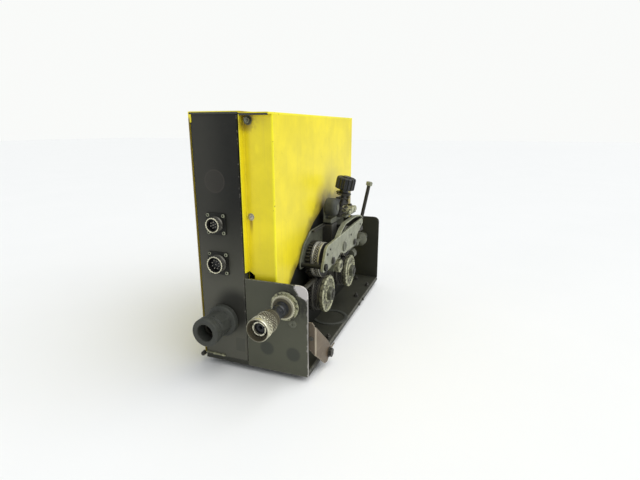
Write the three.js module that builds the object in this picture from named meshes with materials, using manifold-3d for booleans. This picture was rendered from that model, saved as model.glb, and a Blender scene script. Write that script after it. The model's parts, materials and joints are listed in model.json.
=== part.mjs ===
// Wire feed unit of a welding set: a tall two-compartment case on a long base tray, with a four-roll
// drive mechanism on the open right-hand side. Millimetres. X runs to the right, Y to the back, Z up.
// While it is laid out, zero is the lower left front corner of the black connector panel; the whole
// part is then shifted so that its origin is the centre of the bottom of its bounding box.
import * as THREE from 'three';
import { mergeVertices } from 'three/addons/utils/BufferGeometryUtils.js';
import Module from 'manifold-3d';

const wasm = await Module();
wasm.setup();

// ---------- driving dimensions ----------
const CLEAR = 0.4;
const SHEET = 1.5;
const PLATE = 3;

const CASE = { height: 390, depth: 414, panel: 79, right: 129 };
const RECESS = 12;
const BASE = { length: 476, width: 185, lip: 8, thick: 2 };
const FRONT_PLATE = { left: 80.5, top: 142, corner: 14 };
const REAR_PLATE_TOP = 156;
const FOOT = { radius: 9, bottom: -18 };

const SOCKET_X = 35.5;
const SOCKETS = { upper: { z: 225.8, pitch: 27, shell: 11.5 }, lower: { z: 163, pitch: 29.5, shell: 13.5 } };
const WELD = { x: 39, z: 68, front: -55, ring: 22.5, bore: 13.5 };

const WIRE = { x: 148, z: 107 };
const ROLL_RADIUS = 32;
const MODULE = 2;
const ROLL_TEETH = 32;
const DRIVE_TEETH = 38;
const ROLL_Y = { front: 146, rear: 286 };
const DRIVE_Y = (ROLL_Y.front + ROLL_Y.rear) / 2;
const LOWER_Z = WIRE.z - ROLL_RADIUS;
const UPPER_Z = WIRE.z + ROLL_RADIUS;

// Stations along X of everything stacked on the drive plate
const DRIVE_PLATE = { from: 120, to: 126, top: 240 };
const GEAR = { from: 135, to: 142.5 };
const ROLL = { from: 143.5, to: 159.5 };
const CAP = { from: 160, disc: 168.5, hub: 177 };
const INNER_CHEEK = { from: 130, to: 133 };
const OUTER_CHEEK = { from: 170, to: 175 };

const HINGE = { y: 104, z: 139, radius: 4 };
const SHAFT_RADIUS = 6;
const DRIVE_SHAFT_RADIUS = 8;
const AXLE_RADIUS = 5;
const LEAN = THREE.MathUtils.degToRad(11.5);

// The wire line: outlet at the front, guides between the rolls, which end NOSE from a roll's axis
const OUTLET = [WIRE.x, 0, WIRE.z];
const NOSE = 14;
const GUIDE = { radius: 4.2, tip: 2.2, taper: 8, bore: 1.2 };

// The pressure arm's top: bridge, roller, leaning stud with its spring and knob, and the swing stud behind
const BRIDGE = { from: 208, to: 320, bottom: 190.4, top: 200 };
const ARM_TOP = BRIDGE.bottom - CLEAR;
const ROLLER = { y: 218, z: 222, radius: 17.5, from: 138, to: 160 };
const STUD = { x: 152, y: 252, radius: 4 };
const SPRING = { bottom: 2, top: 44, radius: 12.5, wire: 1.3, turns: 5 };
const KNOB = { bottom: 46, top: 78, radius: 19, groove: 1.6, ribs: 16 };
const SWING = { x: 163.5, y: 366, z: 150, length: 107 };

const BRACKET = { x: 195, thick: 2, boltY: 65, boltZ: 5 };
const GLAND = { x: 39.5, z: 90, radius: 14 };
const GAS = { x: 39.5, z: 150, radius: 6 };
const LOUVRES = { count: 6, bottom: 250, pitch: 14, open: 4, from: 20, to: 60 };

// ---------- finishes ----------
const finish = (color, roughness, metalness) => new THREE.MeshStandardMaterial({ color, roughness, metalness });
const FINISH = {
  yellow: finish(0xe6d23c, 0.45, 0),
  black: finish(0x2a2b2c, 0.5, 0),
  olive: finish(0x4b4d41, 0.55, 0.1),
  wornGrey: finish(0xa5a58c, 0.5, 0.7),
  steel: finish(0x9c9a90, 0.35, 1),
  darkSteel: finish(0x3d3d38, 0.5, 0.9),
  cream: finish(0xcfcbaa, 0.55, 0.3),
  rubber: finish(0x1f2022, 0.8, 0),
  brass: finish(0xb08d4a, 0.4, 1),
  rust: finish(0x6b4a38, 0.7, 0.4),
  board: finish(0x2f5d3a, 0.5, 0),
  silver: finish(0xb9b6a8, 0.3, 1),
};

// ---------- solids ----------
function solid(geometry) {
  geometry.deleteAttribute('normal');
  geometry.deleteAttribute('uv');
  const merged = mergeVertices(geometry, 1e-4);
  const corners = [];
  for (let i = 0; i < merged.index.count; i += 3) {
    const [a, b, c] = [0, 1, 2].map((k) => merged.index.getX(i + k));
    if (a !== b && b !== c && c !== a) corners.push(a, b, c);
  }
  return new wasm.Manifold(new wasm.Mesh({
    numProp: 3,
    vertProperties: new Float32Array(merged.attributes.position.array),
    triVerts: new Uint32Array(corners),
  }));
}

function join(...pieces) {
  return pieces.reduce((whole, piece) => whole.add(piece));
}

function cut(piece, ...tools) {
  return tools.reduce((rest, tool) => rest.subtract(tool), piece);
}

function box(x, y, z) {
  const size = [x, y, z].map(([low, high]) => high - low);
  const centre = [x, y, z].map(([low, high]) => (low + high) / 2);
  return solid(new THREE.BoxGeometry(...size).translate(...centre));
}

// Turns a shape made along Y so that it runs along the named axis, then moves it to its place.
function along(axis, geometry, place) {
  if (axis === 'x') geometry.rotateZ(-Math.PI / 2);
  if (axis === 'z') geometry.rotateX(Math.PI / 2);
  return geometry.translate(...place);
}

// A straight round (or, with few sides, hexagonal) bar between two stations on its axis.
function bar(axis, place, radius, [from, to], sides = 24) {
  const geometry = new THREE.CylinderGeometry(radius, radius, to - from, sides);
  geometry.translate(0, (from + to) / 2, 0);
  return solid(along(axis, geometry, place));
}

// A turned piece; the profile is [radius, station] pairs that start and end on the axis,
// or go round a ring and close on their first point.
function turned(axis, place, profile, sides = 24) {
  const points = profile.map(([radius, station]) => new THREE.Vector2(radius, station));
  return solid(along(axis, new THREE.LatheGeometry(points, sides), place));
}

function tube(axis, place, outer, inner, [from, to], sides = 24) {
  return turned(axis, place, [[inner, from], [outer, from], [outer, to], [inner, to], [inner, from]], sides);
}

function extruded(shape, depth, segments = 6) {
  return new THREE.ExtrudeGeometry(shape, { depth, bevelEnabled: false, curveSegments: segments });
}

function outline(points) {
  return new THREE.Shape(points.map(([a, b]) => new THREE.Vector2(a, b)));
}

function polar(radius, angle) {
  return [radius * Math.cos(angle), radius * Math.sin(angle)];
}

// Sheet metal cut to a (Y, Z) outline, with its thickness along X.
function sideSheet(shape, [from, to]) {
  const axes = new THREE.Matrix4().makeBasis(
    new THREE.Vector3(0, 1, 0), new THREE.Vector3(0, 0, 1), new THREE.Vector3(1, 0, 0));
  return solid(extruded(shape, to - from).applyMatrix4(axes).translate(from, 0, 0));
}

// Sheet metal cut to an (X, Z) outline, with its thickness along Y.
function frontSheet(shape, [from, to]) {
  return solid(extruded(shape, to - from).rotateX(Math.PI / 2).translate(0, to, 0));
}

const part = new THREE.Group();
const layout = new THREE.Group();
part.add(layout);

function add(name, shape, material, parent = layout) {
  const { numProp, vertProperties, triVerts } = shape.getMesh();
  const geometry = new THREE.BufferGeometry();
  geometry.setAttribute('position', new THREE.BufferAttribute(new Float32Array(vertProperties), numProp));
  geometry.setIndex(new THREE.BufferAttribute(new Uint32Array(triVerts), 1));
  const mesh = new THREE.Mesh(geometry, material);
  mesh.name = name;
  parent.add(mesh);
  return mesh;
}

// ---------- base tray, end plates and feet ----------
function baseTray() {
  const { length, width, lip, thick } = BASE;
  const floor = box([0, width], [CLEAR, length - PLATE - CLEAR], [-thick, 0]);
  const right = box([width - SHEET, width], [PLATE + CLEAR, length], [-lip, -thick / 2]);
  const left = box([0, SHEET], [CLEAR, length], [-lip, -thick / 2]);
  const front = box([0, FRONT_PLATE.left - CLEAR], [CLEAR, CLEAR + SHEET], [-lip, -thick / 2]);
  const back = box([0, width], [length - SHEET, length], [-lip, -thick / 2]);
  const backFloor = box([0, width], [length - PLATE - 1, length], [-thick, -thick / 2]);
  const plateClearance = box([FRONT_PLATE.left - CLEAR, width + 1], [-1, PLATE + CLEAR], [-lip - 1, 1]);
  return cut(join(floor, right, left, front, backFloor, back), plateClearance);
}

function frontPlate() {
  const { left, top, corner } = FRONT_PLATE;
  const right = BASE.width;
  const plate = frontSheet(outline([
    [left, -BASE.lip], [right, -BASE.lip], [right, top - corner], [right - 3, top - 6], [right - corner, top],
    [left, top]]), [0, PLATE]);
  return cut(plate, bar('y', [WIRE.x, 0, WIRE.z], 11.6, [-1, PLATE + 1]));
}

function rearPlate() {
  const { left } = FRONT_PLATE;
  const right = BASE.width;
  const radius = 14;
  const shape = new THREE.Shape();
  shape.moveTo(left, CLEAR);
  shape.lineTo(right, CLEAR);
  shape.absarc(right - radius, REAR_PLATE_TOP - radius, radius, 0, Math.PI / 2, false);
  shape.absarc(left + radius, REAR_PLATE_TOP - radius, radius, Math.PI / 2, Math.PI, false);
  const plate = frontSheet(shape, [BASE.length - PLATE, BASE.length]);
  return cut(plate, bar('y', [WIRE.x, 0, WIRE.z], 8.4, [BASE.length - PLATE - 1, BASE.length + 1]));
}

function foot(x, y) {
  const top = -BASE.thick - CLEAR;
  return turned('z', [x, y, 0], [
    [0, FOOT.bottom], [FOOT.radius - 1.5, FOOT.bottom], [FOOT.radius, FOOT.bottom + 2], [FOOT.radius - 1, top],
    [0, top]], 20);
}

add('base_tray', baseTray(), FINISH.olive);
add('front_plate', frontPlate(), FINISH.olive);
add('rear_plate', rearPlate(), FINISH.black);
const FEET = { front_left: [40, 22], front_right: [168, 24], rear_left: [40, 450], rear_right: [168, 450] };
for (const [corner, [x, y]] of Object.entries(FEET)) add(`${corner}_foot`, foot(x, y), FINISH.rubber);

// ---------- control compartment: connector panel, rear panel, left cover, partition ----------
function channel(right, [from, to], opensBack) {
  const height = [CLEAR, CASE.height - 2];
  const [face, flange] = opensBack ? [[from, from + SHEET], [from, to]] : [[to - SHEET, to], [from, to]];
  const left = box([0, SHEET], flange, height);
  const other = box([right - SHEET, right], flange, height);
  return join(box([0, right], face, height), left, other);
}

function frontPanel() {
  const holes = Object.values(SOCKETS).map(({ z, shell }) => bar('y', [SOCKET_X, 0, z], shell - 1, [-1, 3]));
  const weldHole = bar('y', [WELD.x, 0, WELD.z], 15.5, [-1, SHEET + 1]);
  return cut(channel(CASE.panel, [0, 14], true), weldHole, ...holes);
}

function rearPanel() {
  const through = [CASE.depth - SHEET - 1, CASE.depth + 1];
  const louvres = Array.from({ length: LOUVRES.count }, (_, row) => {
    const bottom = LOUVRES.bottom + row * LOUVRES.pitch;
    return box([LOUVRES.from, LOUVRES.to], through, [bottom, bottom + LOUVRES.open]);
  });
  const glandHole = bar('y', [GLAND.x, 0, GLAND.z], GLAND.radius + CLEAR, through);
  const gasHole = bar('y', [GAS.x, 0, GAS.z], GAS.radius + CLEAR, through);
  return cut(channel(CASE.panel, [CASE.depth - 14, CASE.depth], false), glandHole, gasHole, ...louvres);
}

function leftCover() {
  const deep = [-1, CASE.depth + 1];
  const top = CASE.height + 1.7;
  const wall = box([-CLEAR - SHEET, -CLEAR], deep, [CLEAR, top]);
  const roof = box([-CLEAR - SHEET, CASE.panel + 3], deep, [top - SHEET, top]);
  const lip = box([-CLEAR - SHEET, 3], [-1, 0.2 - CLEAR], [CASE.height - 14, top]);
  return join(wall, roof, lip);
}

function partition() {
  const left = CASE.panel + 0.3;
  const sheet = box([left, left + 1.2], [16, CASE.depth - 3], [CLEAR, CASE.height - 3]);
  return cut(sheet, bar('x', [0, DRIVE_Y, LOWER_Z], 33, [left - 1, left + 3]));
}

add('front_panel', frontPanel(), FINISH.black);
add('rear_panel', rearPanel(), FINISH.black);
add('left_cover', leftCover(), FINISH.yellow);
add('partition', partition(), FINISH.steel);

// ---------- drive housing: one folded yellow sheet with a cut-out for the mechanism ----------
const CUTOUT = [
  [48, 60], [54, 105], [61, 118], [83, 136], [105, 147], [128, 172], [148, 187], [168, 200], [205, 214],
  [227, 223], [250, 226]];

function rightHousing() {
  const { height, depth, right } = CASE;
  const left = CASE.panel + 1.9;
  const wallShape = outline([
    [RECESS, CLEAR], [48, CLEAR], ...CUTOUT, [depth - 20, 226], [depth - 20, CLEAR], [depth, CLEAR],
    [depth, height], [RECESS, height]]);
  const wall = sideSheet(wallShape, [right - SHEET, right]);
  const front = box([left, right], [RECESS, RECESS + SHEET], [CLEAR, height]);
  const roof = box([left, right], [0, depth], [height - SHEET, height]);
  const back = box([left, right], [depth - SHEET, depth], [CLEAR, height]);
  const returnFlange = box([left, left + SHEET], [0.4, RECESS + SHEET], [FRONT_PLATE.top + 4, height]);
  const notch = frontSheet(outline([[left + 2, 165], [left + 9, 163.5], [left + 9, 173]]), [RECESS - 1, 20]);
  return cut(join(wall, front, roof, back, returnFlange), notch);
}

add('right_housing', rightHousing(), FINISH.yellow);

// ---------- what the case holds ----------
function driveMotor() {
  const place = [0, DRIVE_Y, LOWER_Z];
  const body = turned('x', place, [
    [0, 4], [20, 4], [24, 8], [31.5, 10], [31.5, 76], [28, 84], [0, 84]]);
  const brushCap = (side) => bar('z', [18, DRIVE_Y + side * 24, LOWER_Z], 5, [0, 34], 12);
  return join(body, brushCap(-0.6), brushCap(0.6));
}

function gearbox() {
  const { from } = DRIVE_PLATE;
  const wide = [DRIVE_Y - 36, DRIVE_Y + 36];
  const block = box([84.4, from - CLEAR], wide, [LOWER_Z - 36, LOWER_Z + 36]);
  const step = box([84.4, 100], [DRIVE_Y - 24, DRIVE_Y + 24], [LOWER_Z + 35, LOWER_Z + 44]);
  const bore = bar('x', [0, DRIVE_Y, LOWER_Z], DRIVE_SHAFT_RADIUS + 0.3, [100, from + 1]);
  return cut(join(block, step), bore);
}

function controlBoard() {
  const left = CASE.panel - 14;
  const card = box([left, left + 1.6], [60, 350], [150, 350]);
  const post = (y, z) => bar('x', [0, y, z], 3, [left + 1, CASE.panel], 10);
  const posts = [[70, 160], [340, 160], [70, 340], [340, 340]].map(([y, z]) => post(y, z));
  const relay = (y) => box([left - 18, left + 0.5], [y, y + 22], [300, 332]);
  const capacitor = bar('x', [0, 300, 190], 12, [left - 30, left + 0.5], 20);
  const heatSink = box([left - 22, left + 0.5], [90, 170], [180, 230]);
  return join(card, ...posts, relay(90), relay(130), relay(170), capacitor, heatSink);
}

function gasValve() {
  const { x, z, radius } = GAS;
  const deep = CASE.depth;
  const block = box([x - 13.5, x + 13.5], [330, 360], [z - 14, z + 14]);
  const coil = bar('z', [x, 345, 0], 12, [z + 13, z + 46], 20);
  const nipple = turned('y', [x, 0, z], [
    [0, 359], [radius, 359], [radius, deep + 8], [4.6, deep + 12], [5.4, deep + 16], [4, deep + 24],
    [0, deep + 24]], 20);
  return cut(join(block, coil, nipple), bar('y', [x, 0, z], 2.5, [345, deep + 30], 12));
}

function cableGland() {
  const { x, z, radius } = GLAND;
  const deep = CASE.depth;
  return turned('y', [x, 0, z], [
    [9, deep - 12], [radius, deep - 12], [radius, deep + CLEAR], [19, deep + CLEAR], [19, deep + 8],
    [15, deep + 10], [13, deep + 24], [9, deep + 24], [9, deep - 12]], 24);
}

add('drive_motor', driveMotor(), FINISH.darkSteel);
add('gearbox', gearbox(), FINISH.wornGrey);
add('control_board', controlBoard(), FINISH.board);
add('gas_valve', gasValve(), FINISH.brass);
add('cable_gland', cableGland(), FINISH.black);

// ---------- connectors on the black panel ----------
function socketShell({ z, pitch, shell }) {
  const half = pitch / 2 + 3.5;
  const flange = box([SOCKET_X - half, SOCKET_X + half], [-2.4, -CLEAR], [z - half, z + half]);
  const barrel = turned('y', [SOCKET_X, 0, z], [
    [shell - 2.2, -12.6], [shell, -12.6], [shell, -2], [shell - 1.4, -2], [shell - 1.4, 12], [shell - 2.2, 12],
    [shell - 2.2, -12.6]]);
  const bore = bar('y', [SOCKET_X, 0, z], shell - 2, [-20, 20]);
  return join(cut(flange, bore), barrel);
}

function socketInsert({ z, shell }) {
  return turned('y', [SOCKET_X, 0, z], [
    [0, -5], [shell - 2.5, -5], [shell - 2.5, 10], [shell - 4, 14], [0, 14]], 24);
}

for (const [name, socket] of Object.entries(SOCKETS)) {
  add(`${name}_socket_shell`, socketShell(socket), FINISH.silver);
  add(`${name}_socket_insert`, socketInsert(socket), FINISH.black);
}

function weldSocket() {
  const { x, z, front, ring, bore } = WELD;
  return turned('y', [x, 0, z], [
    [6.3, -13.7], [bore, -13.7], [bore, front], [ring - 1.5, front], [ring, front + 2], [ring, front + 15],
    [18, front + 16], [18, front + 20], [20, front + 21], [20, -12], [26, -9], [26, -CLEAR], [15, -CLEAR],
    [15, 14], [6.3, 14], [6.3, -13.7]]);
}

function weldContact() {
  return turned('y', [WELD.x, 0, WELD.z], [
    [0, -22], [8.5, -22], [8.5, -36], [12.8, -36], [12.8, -14.2], [6, -14.2], [6, 32], [0, 32]]);
}

add('weld_socket', weldSocket(), FINISH.rubber);
add('weld_contact', weldContact(), FINISH.brass);

// ---------- wire outlet on the front plate ----------
add('outlet_washer', tube('y', OUTLET, 23, 11.4, [-3.6, -CLEAR]), FINISH.cream);
add('outlet_nut', cut(bar('y', OUTLET, 16, [-11, -4], 6), bar('y', OUTLET, 11.4, [-12, -3])), FINISH.silver);
add('outlet_neck', turned('y', OUTLET, [
  [4.6, -49.5], [10, -49.5], [10, -24], [11, -22], [11, 16], [4.6, 16], [4.6, -49.5]]), FINISH.rubber);
add('coupling_ring', turned('y', OUTLET, [
  [10.4, -50], [11.5, -50], [11.5, -89], [16, -89], [16.8, -88], [16.8, -78], [15.5, -76], [15.5, -58],
  [13, -56], [13, -46], [10.4, -46], [10.4, -50]]), FINISH.silver);
add('coupling_insert', turned('y', OUTLET, [
  [2.2, -50], [2.2, -80], [8, -80], [8, -85], [11, -85], [11, -50], [2.2, -50]]), FINISH.black);

// ---------- drive plate and its shafts ----------
function drivePlate() {
  const { from, to, top } = DRIVE_PLATE;
  const sheet = box([from, to], [RECESS + 6, CASE.depth - 3], [CLEAR, top]);
  const hole = (y, z, radius) => bar('x', [0, y, z], radius, [from - 1, to + 1]);
  return cut(sheet,
    hole(ROLL_Y.front, LOWER_Z, SHAFT_RADIUS + 0.3),
    hole(ROLL_Y.rear, LOWER_Z, SHAFT_RADIUS + 0.3),
    hole(DRIVE_Y, LOWER_Z, DRIVE_SHAFT_RADIUS + 0.3),
    hole(HINGE.y, HINGE.z, HINGE.radius + 0.3));
}

// Spur gear blank cut to the teeth: straight-flanked teeth, thinned for backlash, over a bored disc.
function gear(teeth, y, z, bore, phase) {
  const pitch = MODULE * teeth / 2;
  const [tip, root] = [pitch + 1.6, pitch - 2.3];
  const step = 2 * Math.PI / teeth;
  const halfAt = (radius) => (1.3 - (radius - pitch) * Math.tan(Math.PI / 9)) / radius;
  const flanks = [[root, -halfAt(root)], [tip, -halfAt(tip)], [tip, halfAt(tip)], [root, halfAt(root)]];
  const toothAt = (middle) => flanks.map(([radius, angle]) => polar(radius, middle + angle));
  const points = Array.from({ length: teeth }, (_, tooth) => toothAt(phase + tooth * step)).flat();
  const blank = sideSheet(outline(points), [GEAR.from, GEAR.to]);
  return cut(blank.translate([0, y, z]), bar('x', [0, y, z], bore, [GEAR.from - 1, GEAR.to + 1]));
}

function feedRoll(y, z, bore) {
  const { from: start, to: end } = ROLL;
  const edge = ROLL_RADIUS - 0.3;
  return turned('x', [0, y, z], [
    [bore, start], [edge, start], [edge, WIRE.x - 1.2], [edge - 1, WIRE.x], [edge, WIRE.x + 1.2], [edge, end],
    [bore, end], [bore, start]], 32);
}

function rollCap(y) {
  const hub = CAP.hub;
  return turned('x', [0, y, LOWER_Z], [
    [0, CAP.disc - 3], [SHAFT_RADIUS + 0.3, CAP.disc - 3], [SHAFT_RADIUS + 0.3, CAP.from], [33.5, CAP.from],
    [33.5, CAP.disc], [12, CAP.disc], [12, hub], [0, hub]], 32);
}

add('drive_plate', drivePlate(), FINISH.black);
add('drive_shaft', bar('x', [0, DRIVE_Y, LOWER_Z], DRIVE_SHAFT_RADIUS, [100.4, GEAR.to + 5]), FINISH.steel);
add('drive_gear', gear(DRIVE_TEETH, DRIVE_Y, LOWER_Z, DRIVE_SHAFT_RADIUS + 0.3, 0), FINISH.darkSteel);

for (const [end, y] of Object.entries(ROLL_Y)) {
  const half = Math.PI / ROLL_TEETH;
  const shaft = bar('x', [0, y, LOWER_Z], SHAFT_RADIUS, [112, CAP.disc - 3.4]);
  const collar = bar('x', [0, y, LOWER_Z], SHAFT_RADIUS + 4, [112, DRIVE_PLATE.from - CLEAR]);
  add(`${end}_lower_shaft`, join(shaft, collar), FINISH.steel);
  add(`${end}_lower_gear`, gear(ROLL_TEETH, y, LOWER_Z, SHAFT_RADIUS + 0.3, half), FINISH.darkSteel);
  add(`${end}_lower_roll`, feedRoll(y, LOWER_Z, SHAFT_RADIUS + 0.3), FINISH.steel);
  add(`${end}_roll_cap`, rollCap(y), FINISH.cream);
  add(`${end}_upper_axle`, bar('x', [0, y, UPPER_Z], AXLE_RADIUS, [129, 179]), FINISH.steel);
  add(`${end}_upper_gear`, gear(ROLL_TEETH, y, UPPER_Z, AXLE_RADIUS + 0.3, 0), FINISH.darkSteel);
  add(`${end}_upper_roll`, feedRoll(y, UPPER_Z, AXLE_RADIUS + 0.3), FINISH.steel);
}

// ---------- wire guides along the wire line ----------
function wireGuide([from, to], noses) {
  const { radius, tip, taper, bore } = GUIDE;
  const low = noses.low ? [[tip, from], [radius, from + taper]] : [[radius, from]];
  const high = noses.high ? [[radius, to - taper], [tip, to]] : [[radius, to]];
  return turned('y', OUTLET, [[bore, from], ...low, ...high, [bore, to], [bore, from]], 20);
}

function middleGuide() {
  const post = bar('x', [0, DRIVE_Y, 124], 5, [DRIVE_PLATE.to + CLEAR, 146], 16);
  const block = box([144, 158], [DRIVE_Y - 12, DRIVE_Y + 12], [97, 130]);
  const disc = bar('x', [0, DRIVE_Y, WIRE.z], 13, [157, 169], 20);
  const tubes = wireGuide([ROLL_Y.front + NOSE, ROLL_Y.rear - NOSE], { low: true, high: true });
  const bore = bar('y', OUTLET, GUIDE.bore, [DRIVE_Y - 20, DRIVE_Y + 20], 12);
  return cut(join(post, block, disc, tubes), bore);
}

function inletGuide() {
  const { radius, tip, taper, bore } = GUIDE;
  const front = ROLL_Y.rear + NOSE;
  const back = BASE.length;
  return turned('y', OUTLET, [
    [bore, front], [tip, front], [radius, front + taper], [radius, back - 50], [16, back - 44], [16, back - 36],
    [8, back - 22], [8, back + 4], [6, back + 6], [bore, back - 8], [bore, front]], 24);
}

add('outlet_guide', wireGuide([-12, ROLL_Y.front - NOSE], { low: false, high: true }), FINISH.brass);
add('middle_guide', middleGuide(), FINISH.cream);
add('inlet_guide', inletGuide(), FINISH.wornGrey);

// ---------- pressure arm with its roller, block, stud, spring and knob ----------
function pressureArm() {
  const innerShape = outline([
    [96, 132], [160, 130], [200, 141], [268, 130], [300, 130], [330, 150], [362, 166], [362, 176], [350, 182],
    [290, ARM_TOP], [148, ARM_TOP], [116, 172], [97, 146]]);
  const outerShape = outline([
    [96, 132], [104, 130.5], [159, 131], [196, 141], [221, 132], [297, 131], [310, 150], [354, 166], [352, 174],
    [345, 178], [122, 173], [113, 168], [97, 140]]);
  const inner = sideSheet(innerShape, [INNER_CHEEK.from, INNER_CHEEK.to]);
  const outer = sideSheet(outerShape, [OUTER_CHEEK.from, OUTER_CHEEK.to]);
  const across = [INNER_CHEEK.to - 0.5, OUTER_CHEEK.from + 0.5];
  const rearWeb = box(across, [345, 350], [158, 178]);
  const middleWeb = box(across, [DRIVE_Y - 8, DRIVE_Y + 22], [152, ARM_TOP]);
  const boss = bar('x', [0, DRIVE_Y - 2, 148], 9, [OUTER_CHEEK.to - 1, OUTER_CHEEK.to + 3]);
  const hole = (y, z, radius) => bar('x', [0, y, z], radius, [INNER_CHEEK.from - 2, OUTER_CHEEK.to + 6]);
  return cut(join(inner, outer, rearWeb, middleWeb, boss),
    hole(HINGE.y, HINGE.z, HINGE.radius + 0.3),
    hole(ROLL_Y.front, UPPER_Z, AXLE_RADIUS + 0.3),
    hole(ROLL_Y.rear, UPPER_Z, AXLE_RADIUS + 0.3));
}

function pressureBridge() {
  const beam = box([134, 168], [BRIDGE.from, BRIDGE.to], [BRIDGE.bottom, BRIDGE.top]);
  const ear = box([134, 137.6], [ROLLER.y - 9, ROLLER.y + 9], [BRIDGE.top - 1, ROLLER.z + 8]);
  const pin = bar('x', [0, ROLLER.y, ROLLER.z], 4, [135, ROLLER.to + 2], 16);
  return join(beam, ear, pin);
}

// The leaning stud stands on the bridge: everything on it is laid out along its own upright axis.
const stud = new THREE.Group();
stud.position.set(STUD.x, STUD.y, BRIDGE.top + 1.5);
stud.rotation.y = LEAN;
layout.add(stud);

class Helix extends THREE.Curve {
  getPoint(t, target = new THREE.Vector3()) {
    const angle = 2 * Math.PI * SPRING.turns * t;
    const height = SPRING.bottom + SPRING.wire + t * (SPRING.top - SPRING.bottom - 2 * SPRING.wire);
    return target.set(SPRING.radius * Math.cos(angle), SPRING.radius * Math.sin(angle), height);
  }
}

function tensionSpring() {
  const section = new THREE.Shape();
  section.absarc(0, 0, SPRING.wire, 0, 2 * Math.PI, false);
  const steps = SPRING.turns * 11;
  return solid(new THREE.ExtrudeGeometry(section, {
    steps, curveSegments: 2, bevelEnabled: false, extrudePath: new Helix() }));
}

function tensionKnob() {
  const { bottom, top, radius, groove, ribs } = KNOB;
  const count = ribs * 4;
  const points = Array.from({ length: count }, (_, i) =>
    polar(i % 4 < 2 ? radius : radius - groove, 2 * Math.PI * i / count));
  const body = solid(extruded(outline(points), top - bottom).translate(0, 0, bottom));
  return cut(body, bar('z', [0, 0, 0], STUD.radius + CLEAR, [bottom - 1, top - 5], 16));
}

add('pressure_arm', pressureArm(), FINISH.wornGrey);
add('hinge_pin', join(
  bar('x', [0, HINGE.y, HINGE.z], HINGE.radius, [DRIVE_PLATE.from - 2, OUTER_CHEEK.to + 2]),
  bar('x', [0, HINGE.y, HINGE.z], 6.5, [OUTER_CHEEK.to + 1, OUTER_CHEEK.to + 4])), FINISH.steel);
add('pressure_bridge', pressureBridge(), FINISH.darkSteel);
add('lever_roller', tube('x', [0, ROLLER.y, ROLLER.z], ROLLER.radius, 4.4, [ROLLER.from, ROLLER.to]),
  FINISH.rubber);
add('clamp_block', box([146, 170], [268, 318], [BRIDGE.top + CLEAR, BRIDGE.top + 11]), FINISH.cream);
add('tension_stud', bar('z', [0, 0, 0], STUD.radius, [0, KNOB.top - 6], 16), FINISH.steel, stud);
add('tension_spring', tensionSpring(), FINISH.darkSteel, stud);
add('tension_knob', tensionKnob(), FINISH.black, stud);

// ---------- swing stud behind the arm ----------
const swingStud = new THREE.Group();
swingStud.position.set(SWING.x, SWING.y, SWING.z);
swingStud.rotation.y = LEAN;
layout.add(swingStud);

function studBracket() {
  const { x, y, z } = SWING;
  const tail = box([DRIVE_PLATE.to + CLEAR, x - 10], [y - 9.6, y + 9.6], [z - 8, z + 8]);
  const ears = [-1, 1].map((side) =>
    box([x - 11, x + 6], [y + side * 7.6 - 2, y + side * 7.6 + 2], [z - 8, z + 6]));
  const pin = bar('y', [x, 0, z], 3, [y - 9, y + 9], 16);
  return join(tail, ...ears, pin);
}

function rearStud() {
  const eye = cut(bar('y', [0, 0, 0], 6, [-5, 5]), bar('y', [0, 0, 0], 3.3, [-6, 6]));
  const rod = bar('z', [0, 0, 0], 4, [4.5, SWING.length - 6], 16);
  const head = bar('z', [0, 0, 0], 7, [SWING.length - 7, SWING.length], 6);
  return join(eye, rod, head);
}

add('stud_bracket', studBracket(), FINISH.darkSteel);
add('rear_stud', rearStud(), FINISH.steel, swingStud);

// ---------- bent bracket bolted outside the front right corner ----------
function sideBracket() {
  const { x, thick, boltY, boltZ } = BRACKET;
  const side = sideSheet(outline([[3.4, -6], [60, -9], [92, 0], [92, 6], [26, 68], [3.4, 84]]), [x, x + thick]);
  const leg = box([150, x + thick], [PLATE + CLEAR, PLATE + CLEAR + thick], [16, 84]);
  const hole = bar('x', [0, boltY, boltZ], 4 + CLEAR, [x - 1, x + thick + 1], 16);
  return cut(join(side, leg), hole);
}

function bracketBolt() {
  const { x, thick, boltY, boltZ } = BRACKET;
  const place = [0, boltY, boltZ];
  const shank = bar('x', place, 4, [BASE.width + CLEAR, x + 4], 16);
  const head = bar('x', place, 8, [x + thick + CLEAR, x + 8], 6);
  const spacer = bar('x', place, 9, [BASE.width + CLEAR, x - CLEAR], 20);
  return join(shank, head, spacer);
}

add('side_bracket', sideBracket(), FINISH.rust);
add('bracket_bolt', bracketBolt(), FINISH.darkSteel);

// ---------- origin at the centre of the bottom of the bounding box ----------
part.updateMatrixWorld(true);
const bounds = new THREE.Box3().setFromObject(part, true);
const centre = bounds.getCenter(new THREE.Vector3());
layout.position.set(-centre.x, -centre.y, -bounds.min.z);

export default part;
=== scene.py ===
"""Welding wire feed unit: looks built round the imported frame, laid out as an add-on and run as a script."""

import json
import math

import bpy
import numpy as np
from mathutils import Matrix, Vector


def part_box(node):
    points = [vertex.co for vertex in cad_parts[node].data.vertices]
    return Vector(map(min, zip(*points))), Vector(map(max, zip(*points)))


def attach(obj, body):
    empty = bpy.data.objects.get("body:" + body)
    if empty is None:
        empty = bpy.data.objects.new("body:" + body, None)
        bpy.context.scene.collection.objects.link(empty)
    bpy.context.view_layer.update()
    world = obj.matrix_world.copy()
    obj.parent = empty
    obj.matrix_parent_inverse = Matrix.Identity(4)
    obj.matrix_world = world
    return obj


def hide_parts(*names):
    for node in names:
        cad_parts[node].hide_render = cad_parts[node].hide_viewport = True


bl_info = {
    "name": "Wire Feed Unit",
    "version": (1, 0, 0),
    "blender": (4, 5, 0),
    "location": "View3D > Sidebar > Wire Feeder",
    "description": "Builds the sheet metal, connectors, drive rolls and finishes of a welding wire feed unit",
    "category": "Object",
}

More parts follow.
